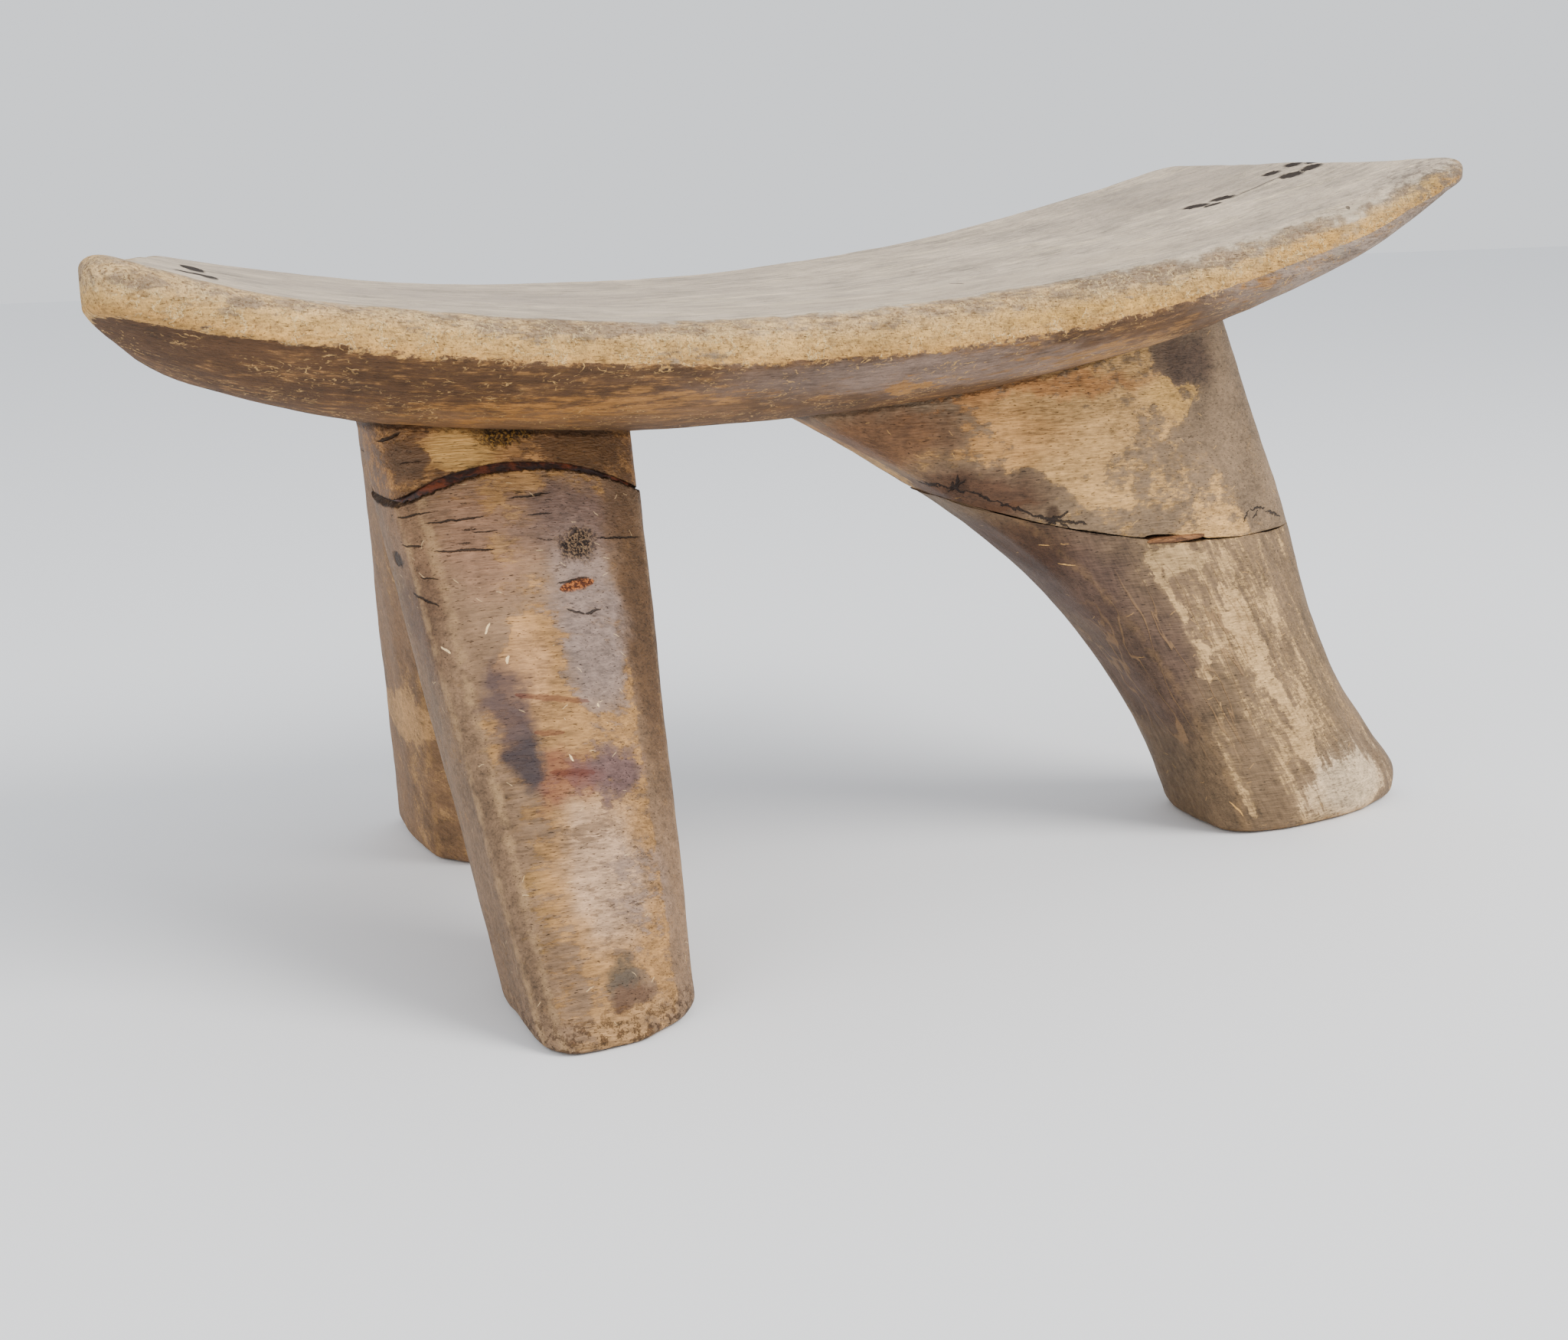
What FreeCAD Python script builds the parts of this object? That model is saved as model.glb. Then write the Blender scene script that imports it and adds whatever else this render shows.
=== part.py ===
"""A low three-legged stool carved from one block of wood.

Millimetres, +Z up, the soles of the feet on Z = 0, +X along the seat towards the single rear leg.
The seat is a dished board with a hull-shaped underside. Two front legs fork from one root, and the
rear leg curves back. The wood is cut into members where it really has parted, at the mended break
under the front root and at the check across the rear leg, and where a leg grows out of the seat.
"""
import FreeCAD, Part
import math
import os
import Sketcher

# Driving dimensions: alias, size, meaning. Places along the stool count from the seat's left tip.
SIZES = [
    ("seat_length", 430.0, "left tip to right end of the seat"),
    ("toe_reach", 42.0, "how far the toe of the rear foot stands out past the seat's right end"),
    ("seat_width_left", 194.0, "width of the seat at its left end"),
    ("seat_width_right", 171.0, "width of the seat at its right end"),
    ("seat_left_slant", 36.0, "how far the far corner of the left end is cut back"),
    ("seat_right_slant", 12.0, "how far the far corner of the right end is cut back"),
    ("seat_left_corner", 12.0, "radius of the left corners, seen from above"),
    ("seat_right_corner", 16.0, "radius of the right corners, seen from above"),
    ("seat_low_height", 197.3, "floor to the lowest line of the seat"),
    ("seat_low_shift", 37.0, "how far the lowest line of the seat lies left of its middle"),
    ("seat_curve_radius", 780.0, "radius of the seat along its length"),
    ("seat_thickness", 41.5, "wood under the lowest line"),
    ("seat_hull_radius", 168.0, "radius of the underside across its width"),
    ("belly_overhang", 105.0, "reach past each end of the egg shape that the underside follows there"),
    ("belly_shift", 24.0, "how far that shape's middle lies left of the seat's middle"),
    ("belly_width", 574.0, "that shape, across the stool"),
    ("belly_height", 424.0, "that shape, upright"),
    ("belly_drop", 5.7, "how far that shape reaches below the seat's lowest wood"),
    ("seat_rim_round", 4.5, "worn rounding of the upper rim"),
    ("mark_length", 8.5, "one burnt dash"),
    ("mark_width", 2.6, "one burnt dash"),
    ("mark_depth", 0.9, "one burnt dash"),
    ("mark_spacing", 9.5, "between the two pairs of dashes of one cluster"),
    ("mark_left_setback", 36.0, "left tip to the left cluster"),
    ("mark_left_offset", 28.0, "how far it lies to the near side of the seat's middle line"),
    ("mark_inner_setback", 55.0, "right end to the inner right cluster"),
    ("mark_inner_offset", 14.0, "how far it lies to the near side"),
    ("mark_outer_setback", 23.0, "right end to the outer right cluster"),
    ("mark_outer_offset", 10.0, "how far it lies to the near side"),
    ("front_foot_place", 129.0, "left tip to the middle of the near front foot"),
    ("front_foot_spread", 169.0, "between the middles of the two front feet"),
    ("front_foot_width", 54.0, "along the stool"),
    ("front_foot_depth", 74.0, "across the stool"),
    ("front_root_place", 122.5, "left tip to the middle of the near front leg, inside the seat"),
    ("front_root_spread", 18.0, "between the middles of the two legs, inside the seat"),
    ("front_root_width", 89.0, "along the stool, inside the seat"),
    ("front_root_depth", 56.0, "across the stool, inside the seat"),
    ("far_leg_shift", 9.0, "how much further right the far front leg stands"),
    ("break_shift", 5.0, "how far the crown of the mended break lies left of the near leg's middle"),
    ("break_radius", 85.0, "arch of the mended break, seen from the side"),
    ("break_drop", 1.2, "the seat's lowest wood to the crown of the break"),
    ("break_gap", 2.4, "bead in the break, at its crown"),
    ("break_skew", 3.4, "how far the arch of the broken leg is shifted to the right"),
    ("break_step", 1.3, "how far the root stands back from the broken leg"),
    ("bead_inset", 1.0, "how far the bead lies inside the root's surface"),
    ("rear_leg_depth", 60.0, "across the stool, at the thickest place"),
    ("rear_leg_offset", 4.0, "how far the rear leg stands to the near side"),
    ("rear_root_sink", 8.0, "how far below the seat's upper face the rear leg ends, at its outer edge"),
    ("check_radius", 400.0, "curve of the check across the rear leg"),
    ("check_drop", 47.6, "the seat's lowest wood to the lowest line of the check"),
    ("check_setback", 30.0, "the seat's right end to the lowest line of the check"),
    ("sliver_length", 27.0, "torn sliver in the check"),
    ("sliver_depth", 12.0, "torn sliver in the check"),
    ("sliver_height", 4.6, "torn sliver in the check"),
    ("sliver_shift", 45.0, "how far the sliver lies left of the lowest line of the check"),
    ("sole_round", 4.0, "worn edge of each sole"),
    ("overrun", 40.0, "how far a cutting body reaches past what it cuts"),
]

# Knife facets of a leg, seen from above, in shares of half its width and half its depth. The
# second number is negative on the outer side of a front leg and on the near side of the rear one.
FRONT_LEG_SHARES = [
    (-1.00, -0.40), (-0.97, -0.80), (-0.78, -0.98), (-0.40, -1.00), (0.10, -0.93), (0.60, -0.72),
    (0.92, -0.42), (1.00, 0.00), (0.90, 0.55), (0.50, 0.92), (0.00, 1.00), (-0.55, 0.95),
    (-0.90, 0.65), (-1.00, 0.15),
]
REAR_LEG_SHARES = [
    (-1.00, -0.30), (-0.97, -0.74), (-0.80, -0.97), (-0.40, -1.00), (0.10, -0.90), (0.55, -0.66),
    (0.88, -0.34), (1.00, -0.08), (1.00, 0.10), (0.86, 0.42), (0.50, 0.76), (0.00, 0.97),
    (-0.50, 1.00), (-0.88, 0.76), (-1.00, 0.30),
]

# Sections of the rear leg from sole to top: height in shares of the leg's whole height, inner and
# outer edge in shares of seat_length, depth in shares of rear_leg_depth. The foot is moved out by
# toe_reach, and each higher section by less.
REAR_SECTION_SHARES = [
    (0.000, 0.786, 0.996, 0.980),
    (0.044, 0.781, 1.003, 1.000),
    (0.115, 0.772, 0.984, 1.000),
    (0.213, 0.753, 0.956, 0.970),
    (0.327, 0.722, 0.938, 0.950),
    (0.447, 0.677, 0.928, 0.960),
    (0.562, 0.617, 0.919, 0.980),
    (0.681, 0.534, 0.906, 1.000),
    (0.850, 0.402, 0.888, 1.000),
    (1.000, 0.340, 0.873, 1.000),
]

# One cluster of burnt dashes: place along and place across in shares of mark_spacing, and turn in
# shares of a right angle.
MARK_CLUSTER_SHARES = [
    (-0.50, 0.20, 0.16), (-0.50, -0.20, -0.10), (0.50, 0.22, -0.12), (0.50, -0.18, 0.14),
]

doc = FreeCAD.newDocument("stool")
sheet = doc.addObject("Spreadsheet::Sheet", "Sizes")
for row, (alias, length, meaning) in enumerate(SIZES, start=1):
    sheet.set(f"A{row}", alias)
    sheet.set(f"B{row}", str(length))
    sheet.set(f"C{row}", meaning)
    sheet.setAlias(f"B{row}", alias)
doc.recompute()

UP = FreeCAD.Vector(0, 0, 1)
ACROSS = FreeCAD.Rotation(FreeCAD.Vector(1, 0, 0), -90)


OVERALL_LENGTH = "(Sizes.seat_length + Sizes.toe_reach)"


def along(place):
    """Expression for a place counted from the left tip, in the stool's own frame."""
    return f"({place}) - {OVERALL_LENGTH} / 2"


def bind(piece, **expressions):
    """Tie properties of a piece to the sheet; x, y and z are its place."""
    for name, expression in expressions.items():
        path = f"Placement.Base.{name}" if name in ("x", "y", "z") else name
        piece.setExpression(path, expression)
    return piece


def add(kind, name, **expressions):
    """A new object of the document with its properties tied to the sheet."""
    return bind(doc.addObject(kind, name), **expressions)


def crosswise_cylinder(name, radius, x, z):
    """A cylinder lying across the whole stool."""
    roll = doc.addObject("Part::Cylinder", name)
    roll.Placement = FreeCAD.Placement(FreeCAD.Vector(), ACROSS)
    width = "(Sizes.front_foot_spread + Sizes.front_foot_depth + 2 * Sizes.overrun)"
    return bind(roll, Radius=radius, Height=width, x=x, y=f"-{width} / 2", z=z)


def common(name, *shapes):
    piece = doc.addObject("Part::MultiCommon", name)
    piece.Shapes = list(shapes)
    return piece


def fuse(name, *shapes):
    piece = doc.addObject("Part::MultiFuse", name)
    piece.Shapes = list(shapes)
    return piece


def cut(name, base, *tools):
    """Take each tool away from the base in turn."""
    for step, tool in enumerate(tools):
        last = step == len(tools) - 1
        piece = doc.addObject("Part::Cut", name if last else f"{name}_cut_{step}")
        piece.Base = base
        piece.Tool = tool
        base = piece
    return base


def fillet(name, base, radius, chosen):
    """Round the edges of the base that the test chooses."""
    doc.recompute()
    piece = doc.addObject("Part::Fillet", name)
    piece.Base = base
    edges = enumerate(base.Shape.Edges, start=1)
    piece.Edges = [(index, radius, radius) for index, edge in edges if chosen(edge)]
    return piece


def closed_sketch(name, corners):
    """A polygon whose corners are tied to the sheet; each corner is a pair of expressions."""
    sketch = doc.addObject("Sketcher::SketchObject", name)
    points = []
    for pair in corners:
        numbers = [float(sketch.evalExpression(expression)) for expression in pair]
        points.append(FreeCAD.Vector(*numbers, 0))
    count = len(points)
    for index, start in enumerate(points):
        sketch.addGeometry(Part.LineSegment(start, points[(index + 1) % count]), False)
    for index in range(count):
        sketch.addConstraint(Sketcher.Constraint("Coincident", index, 2, (index + 1) % count, 1))
    for index, (start, pair) in enumerate(zip(points, corners)):
        for kind, number, expression in zip(("DistanceX", "DistanceY"), start, pair):
            ends = (-1, 1, index, 1) if number >= 0 else (index, 1, -1, 1)
            rule = sketch.addConstraint(Sketcher.Constraint(kind, *ends, abs(number)))
            sketch.setExpression(f"Constraints[{rule}]", f"abs({expression})")
    return sketch


def rounding_loss(end):
    """How far rounding the near corner of one slanted end draws its tip back."""
    slope = f"Sizes.seat_{end}_slant / Sizes.seat_width_{end}"
    return f"Sizes.seat_{end}_corner * (sqrt(1 + ({slope}) ^ 2) + {slope} - 1)"


def seat_outline():
    """The board as seen from above, with slanted ends and rounded corners."""
    left = "Sizes.seat_width_left / 2"
    right = "Sizes.seat_width_right / 2"
    tip = "(-" + rounding_loss("left") + ")"
    end = "(Sizes.seat_length + " + rounding_loss("right") + ")"
    plan = closed_sketch("seat_plan", [
        (along(tip), f"-{left}"),
        (along(end), f"-{right}"),
        (along(f"{end} - Sizes.seat_right_slant"), right),
        (along(f"{tip} + Sizes.seat_left_slant"), left),
    ])
    prism = add("Part::Extrusion", "seat_prism", LengthFwd="Sizes.seat_low_height * 2")
    prism.Base = plan
    prism.DirMode = "Custom"
    prism.Dir = UP
    prism.Solid = True

    def upright(edge):
        return abs(edge.tangentAt(edge.FirstParameter).z) > 0.5

    def left_corner(edge):
        return upright(edge) and edge.CenterOfMass.x < 0

    def right_corner(edge):
        return upright(edge) and edge.CenterOfMass.x > 0

    half_done = fillet("seat_left_corners", prism, sheet.get("seat_left_corner"), left_corner)
    return fillet("seat_outline", half_done, sheet.get("seat_right_corner"), right_corner)


# Centre of the circles that the seat's upper face and its underside follow along the stool.
LOW_PLACE = "(Sizes.seat_length / 2 - Sizes.seat_low_shift)"
CURVE_X = along(LOW_PLACE)
CURVE_Z = "(Sizes.seat_low_height + Sizes.seat_curve_radius)"
LOWEST_WOOD = "(Sizes.seat_low_height - Sizes.seat_thickness)"


def upper_face_height(place):
    """Expression for the height of the seat's upper face at a place counted from the left tip."""
    return f"({CURVE_Z} - sqrt(Sizes.seat_curve_radius ^ 2 - ({place} - {LOW_PLACE}) ^ 2))"


def seat():
    """The dished board, and the cylinder that its upper face is cut with.

    The board is what hull, belly and outline have in common.
    """
    hull = doc.addObject("Part::Torus", "seat_hull")
    hull.Placement = FreeCAD.Placement(FreeCAD.Vector(), ACROSS)
    bind(hull, Radius1="Sizes.seat_curve_radius + Sizes.seat_thickness - Sizes.seat_hull_radius",
         Radius2="Sizes.seat_hull_radius", x=CURVE_X, z=CURVE_Z)
    belly = add("Part::Ellipsoid", "seat_belly", Radius1="Sizes.belly_height / 2",
                Radius2="Sizes.seat_length / 2 + Sizes.belly_overhang", Radius3="Sizes.belly_width / 2",
                x=along("Sizes.seat_length / 2 - Sizes.belly_shift"),
                z=f"{LOWEST_WOOD} - Sizes.belly_drop + Sizes.belly_height / 2")
    dish = crosswise_cylinder("seat_dish", "Sizes.seat_curve_radius", x=CURVE_X, z=CURVE_Z)
    blank = cut("seat_blank", common("seat_board", hull, seat_outline(), belly), dish)

    radius = sheet.get("seat_curve_radius")
    centre_x = -sheet.get("seat_low_shift") - sheet.get("toe_reach") / 2
    centre_z = sheet.get("seat_low_height") + radius

    def on_upper_face(edge):
        middle = edge.valueAt((edge.FirstParameter + edge.LastParameter) / 2)
        distance = math.hypot(middle.x - centre_x, middle.z - centre_z)
        return math.isclose(distance, radius, rel_tol=1e-6)

    rounded = fillet("seat_rounded", blank, sheet.get("seat_rim_round"), on_upper_face)
    return cut("seat", rounded, burnt_marks()), dish


def burnt_marks():
    """Shallow lens-shaped dashes, one cluster of four at each of three places on the upper face."""
    clusters = {
        "left": "Sizes.mark_left_setback",
        "inner": "(Sizes.seat_length - Sizes.mark_inner_setback)",
        "outer": "(Sizes.seat_length - Sizes.mark_outer_setback)",
    }
    dashes = []
    for cluster, middle in clusters.items():
        for index, (forward, sideways, turn) in enumerate(MARK_CLUSTER_SHARES):
            place = f"({middle} + Sizes.mark_spacing * {forward})"
            dash = doc.addObject("Part::Ellipsoid", f"mark_{cluster}_{index}")
            dash.Placement = FreeCAD.Placement(FreeCAD.Vector(), FreeCAD.Rotation(UP, turn * 90))
            bind(dash, Radius1="Sizes.mark_depth", Radius2="Sizes.mark_length / 2",
                 Radius3="Sizes.mark_width / 2", x=along(place),
                 y=f"Sizes.mark_spacing * {sideways} - Sizes.mark_{cluster}_offset",
                 z=upper_face_height(place))
            dashes.append(dash)
    return fuse("burnt_marks", *dashes)


def leg_section(name, shares, x, y, z, half_width, half_depth):
    """One level section of a leg."""
    corners = [(f"({half_width}) * {u}", f"({half_depth}) * {v}") for u, v in shares]
    return bind(closed_sketch(name, corners), x=x, y=y, z=z)


def leg_loft(name, sections, ruled):
    loft = doc.addObject("Part::Loft", name)
    loft.Sections = sections
    loft.Solid = True
    loft.Ruled = ruled
    return loft


def with_round_sole(name, leg):
    """The leg with the worn edge of its sole."""
    def on_sole(edge):
        return all(abs(vertex.Z) < Part.Precision.confusion() for vertex in edge.Vertexes)

    return fillet(name, leg, sheet.get("sole_round"), on_sole)


def front_leg_loft(name, side, inset):
    """One front leg from its sole to inside the seat; side is -1 near, 1 far."""
    shares = [(u, -side * v) for u, v in FRONT_LEG_SHARES]
    shift = f"Sizes.far_leg_shift * {max(side, 0)}"
    foot = leg_section(
        f"{name}_foot", shares, x=along(f"Sizes.front_foot_place + {shift}"),
        y=f"{side} * Sizes.front_foot_spread / 2", z="0",
        half_width=f"Sizes.front_foot_width / 2 - {inset}",
        half_depth=f"Sizes.front_foot_depth / 2 - {inset}")
    root = leg_section(
        f"{name}_root", shares, x=along(f"Sizes.front_root_place + {shift}"),
        y=f"{side} * Sizes.front_root_spread / 2", z="Sizes.seat_low_height - Sizes.seat_thickness / 2",
        half_width=f"Sizes.front_root_width / 2 - {inset}",
        half_depth=f"Sizes.front_root_depth / 2 - {inset}")
    return leg_loft(name, [foot, root], True)


def half_space(name, side):
    """Everything on one side of the stool's middle plane, up to the height of the seat."""
    width = "(Sizes.front_foot_spread + Sizes.front_foot_depth)"
    return add("Part::Box", name, Length=OVERALL_LENGTH, Width=width,
               Height="Sizes.seat_low_height + Sizes.overrun", x=f"-{OVERALL_LENGTH} / 2",
               y=f"-{width}" if side < 0 else "0")


def archway(name, radius, x, z):
    """An arch with upright sides that reaches down past the floor, across the whole stool."""
    roof = crosswise_cylinder(f"{name}_roof", radius, x=x, z=z)
    width = "(Sizes.front_foot_spread + Sizes.front_foot_depth + 2 * Sizes.overrun)"
    sides = add("Part::Box", f"{name}_sides", Length=f"2 * ({radius})", Width=width,
                Height=f"{z} + Sizes.overrun", x=f"{x} - ({radius})", y=f"-{width} / 2",
                z="-Sizes.overrun")
    return fuse(name, roof, sides)


def front_legs(board):
    """The root under the seat, the two legs below the break, and the bead that mends the near one."""
    crown = "Sizes.front_root_place - Sizes.break_shift"
    arch_z = f"{LOWEST_WOOD} - Sizes.break_drop - Sizes.break_radius"
    arch = archway("break_arch", "Sizes.break_radius", x=along(crown), z=arch_z)
    lower_arch = archway("break_lower_arch", "Sizes.break_radius - Sizes.break_gap",
                         x=along(f"{crown} + Sizes.break_skew"), z=arch_z)
    near_half = half_space("near_half", -1)
    far_half = half_space("far_half", 1)

    near = with_round_sole("near_leg_round", front_leg_loft("near_leg", -1, "0"))
    far = with_round_sole("far_leg_round", front_leg_loft("far_leg", 1, "0"))
    near_leg = common("near_front_leg", near, lower_arch, near_half)
    far_leg = common("far_front_leg", far, arch, far_half)

    near_root = front_leg_loft("near_root", -1, "Sizes.break_step")
    far_root = front_leg_loft("far_root", 1, "Sizes.break_step")
    root = cut("front_leg_root", fuse("root_pair", near_root, far_root), arch, board)

    bead_blank = front_leg_loft("bead_blank", -1, "(Sizes.break_step + Sizes.bead_inset)")
    bead = cut("break_bead", common("bead_layer", bead_blank, arch, near_half), lower_arch)
    return [root, near_leg, far_leg, bead]


def rear_leg_loft():
    """The curved rear leg: broad under the seat, slender at the shin, flared at the toe."""
    outer_at_top = REAR_SECTION_SHARES[-1][2]
    height_inside = f"({upper_face_height(f'Sizes.seat_length * {outer_at_top}')} - Sizes.rear_root_sink)"
    sections = []
    for index, (height, inner, outer, depth) in enumerate(REAR_SECTION_SHARES):
        sections.append(leg_section(
            f"rear_section_{index}", REAR_LEG_SHARES,
            x=along(f"Sizes.seat_length * ({inner} + {outer}) / 2 + Sizes.toe_reach * (1 - {height})"),
            y="-Sizes.rear_leg_offset", z=f"{height_inside} * {height}",
            half_width=f"Sizes.seat_length * ({outer} - {inner}) / 2",
            half_depth=f"Sizes.rear_leg_depth / 2 * {depth}"))
    return with_round_sole("rear_leg_round", leg_loft("rear_loft", sections, False))


def rear_leg(board, dish):
    """The rear leg above and below its check, and the torn sliver that lies in the check."""
    leg = rear_leg_loft()
    lowest = "Sizes.seat_length - Sizes.check_setback"
    curve_z = f"{LOWEST_WOOD} - Sizes.check_drop + Sizes.check_radius"
    check = crosswise_cylinder("check_curve", "Sizes.check_radius", x=along(lowest), z=curve_z)
    blank = add(
        "Part::Ellipsoid", "sliver_blank", Radius1="Sizes.sliver_height / 2",
        Radius2="Sizes.sliver_length / 2", Radius3="Sizes.sliver_depth",
        x=along(f"{lowest} - Sizes.sliver_shift"), y="-Sizes.rear_leg_offset - Sizes.rear_leg_depth / 2",
        z=f"{curve_z} - sqrt(Sizes.check_radius ^ 2 - Sizes.sliver_shift ^ 2)")
    sliver = common("check_sliver", blank, leg)
    upper = cut("rear_leg_root", common("rear_upper", leg, check), blank, board, dish)
    lower = cut("rear_leg", leg, check, blank, board, dish)
    return [upper, lower, sliver]


def write(pieces):
    """Check every object of the document, then write one file for each piece."""
    doc.recompute()
    for item in doc.Objects:
        if {"Invalid", "Error"} & set(item.State):
            raise RuntimeError(f"{item.Name} failed: {item.State}")
    os.makedirs("parts", exist_ok=True)
    for piece in pieces:
        shape = piece.Shape
        if shape.isNull() or not shape.isValid() or not shape.Solids:
            raise RuntimeError(f"{piece.Label} has no valid solid")
        shape.exportStep(f"parts/{piece.Label}.step")
        box = shape.optimalBoundingBox(True, False)
        print(f"{piece.Label}: {len(shape.Solids)} solid, {shape.Volume / 1000:.1f} cm3, "
              f"x {box.XMin:.1f} to {box.XMax:.1f}, y {box.YMin:.1f} to {box.YMax:.1f}, "
              f"z {box.ZMin:.1f} to {box.ZMax:.1f}")


board, dish = seat()
write([board] + front_legs(board) + rear_leg(board, dish))
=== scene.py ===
import bpy
import numpy as np
from mathutils import Matrix, Vector


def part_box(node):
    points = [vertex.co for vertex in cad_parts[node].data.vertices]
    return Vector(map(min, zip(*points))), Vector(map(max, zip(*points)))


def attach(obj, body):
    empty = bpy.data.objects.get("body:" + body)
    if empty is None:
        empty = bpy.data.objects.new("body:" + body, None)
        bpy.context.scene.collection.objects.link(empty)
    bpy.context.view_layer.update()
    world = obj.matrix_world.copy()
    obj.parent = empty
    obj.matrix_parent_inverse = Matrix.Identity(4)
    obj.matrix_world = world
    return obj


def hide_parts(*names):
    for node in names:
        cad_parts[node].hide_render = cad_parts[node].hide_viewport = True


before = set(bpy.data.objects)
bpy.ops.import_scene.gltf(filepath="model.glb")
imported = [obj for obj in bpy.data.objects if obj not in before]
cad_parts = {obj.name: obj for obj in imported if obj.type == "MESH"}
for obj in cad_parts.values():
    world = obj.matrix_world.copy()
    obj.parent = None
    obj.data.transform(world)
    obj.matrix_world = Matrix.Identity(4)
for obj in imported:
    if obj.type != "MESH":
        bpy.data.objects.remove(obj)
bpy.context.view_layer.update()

# Seat.
# The upper part of one block of dense light-brown wood, adzed to a long dish with a hull-shaped
# underside. Hands and clothes have worn its rim round and polished its face.
LEFT_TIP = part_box("seat")[0][0]
SEAT_LENGTH = 0.430
LOW_LINE = LEFT_TIP + 0.178
LOW_HEIGHT = 0.1973
CURVE_RADIUS = 0.780
WOOD_THICKNESS = 0.0415
HULL_RADIUS = 0.168
HALF_WIDTH_LEFT, HALF_WIDTH_RIGHT = 0.0966, 0.0852
SLANT_LEFT, SLANT_RIGHT = 0.036, 0.012
CORNER_LEFT, CORNER_RIGHT = 0.012, 0.016
RIM_WIDTH, RIM_DROP, LOWER_ROUND = 0.0085, 0.0055, 0.0015
THINNEST_RIM = 0.0090
# The egg shape at the ends of the underside: its middle past the left tip and over the floor, half of
# its length, width and height, and the reach over which the hull runs into it.
EGG_PLACE, EGG_LEVEL = 0.191, 0.3621
EGG_LENGTH, EGG_WIDTH, EGG_HEIGHT = 0.320, 0.287, 0.212
EGG_EASE = 0.004
# Rings of points on the face and on the underside, rings of each rounding, and points in a ring.
FACE_ROWS, ROUND_ROWS, SEAT_COLUMNS = 57, 10, 640


def seat_top(x):
    """Height of the seat's face: the lowest part of a circle that lies along the stool."""
    return LOW_HEIGHT + CURVE_RADIUS - np.sqrt(CURVE_RADIUS ** 2 - (x - LOW_LINE) ** 2)


def seat_underside(x, y):
    """Height of the underside: a hull that is round along and across, run smoothly into the egg shape
    that ends it."""
    across = CURVE_RADIUS + WOOD_THICKNESS - HULL_RADIUS + np.sqrt(HULL_RADIUS ** 2 - y ** 2)
    hull = LOW_HEIGHT + CURVE_RADIUS - np.sqrt(across ** 2 - (x - LOW_LINE) ** 2)
    along = (x - LEFT_TIP - EGG_PLACE) / EGG_LENGTH
    egg = EGG_LEVEL - EGG_HEIGHT * np.sqrt(np.clip(1 - along ** 2 - (y / EGG_WIDTH) ** 2, 0, 1))
    return (hull + egg + np.sqrt((hull - egg) ** 2 + EGG_EASE ** 2)) / 2


def seat_lower(x, y):
    """Height of the underside, kept low enough to leave some wood at the rim."""
    return np.minimum(seat_underside(x, y), seat_top(x) - THINNEST_RIM)


def rounded_outline(corners, radii, count):
    """Points at equal steps along a polygon whose corners are arcs that touch both sides."""
    path = []
    neighbours = zip(np.roll(corners, 1, 0), corners, np.roll(corners, -1, 0), radii)
    for before, corner, after, radius in neighbours:
        back = (before - corner) / np.linalg.norm(before - corner)
        onward = (after - corner) / np.linalg.norm(after - corner)
        half_angle = np.arccos(back @ onward) / 2
        middle = corner + (back + onward) / np.linalg.norm(back + onward) * radius / np.sin(half_angle)
        start = corner + back * radius / np.tan(half_angle) - middle
        end = corner + onward * radius / np.tan(half_angle) - middle
        turn = np.arctan2(start[0] * end[1] - start[1] * end[0], start @ end)
        angles = np.arctan2(start[1], start[0]) + turn * np.linspace(0, 1, 30)
        path.append(middle + radius * np.stack([np.cos(angles), np.sin(angles)], axis=1))
    path = np.vstack(path + [path[0][:1]])
    travelled = np.concatenate([[0], np.cumsum(np.linalg.norm(np.diff(path, axis=0), axis=1))])
    steps = np.linspace(0, travelled[-1], count, endpoint=False)
    return np.stack([np.interp(steps, travelled, path[:, axis]) for axis in (0, 1)], axis=1)


def wander(points, wavelength, seed):
    """Smooth unevenness from about -1 to 1: twelve sine waves of one length in random directions."""
    random = np.random.default_rng(seed)
    ways = random.normal(size=(12, 3))
    ways *= 2 * np.pi / wavelength / np.linalg.norm(ways, axis=1, keepdims=True)
    return np.tanh(np.sin(points @ ways.T + random.uniform(0, 2 * np.pi, 12)).sum(axis=-1) / 3)


def outward(rings):
    """Unit normals of a grid of rings: the cross product of the steps along and around it."""
    around = np.roll(rings, -1, axis=1) - np.roll(rings, 1, axis=1)
    along = np.gradient(rings, axis=0)
    normals = np.cross(around, along)
    normals /= np.maximum(np.linalg.norm(normals, axis=-1, keepdims=True), 1e-12)
    middle = rings.mean(axis=(0, 1))
    return normals * np.sign(np.sum(normals * (rings - middle)))


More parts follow.
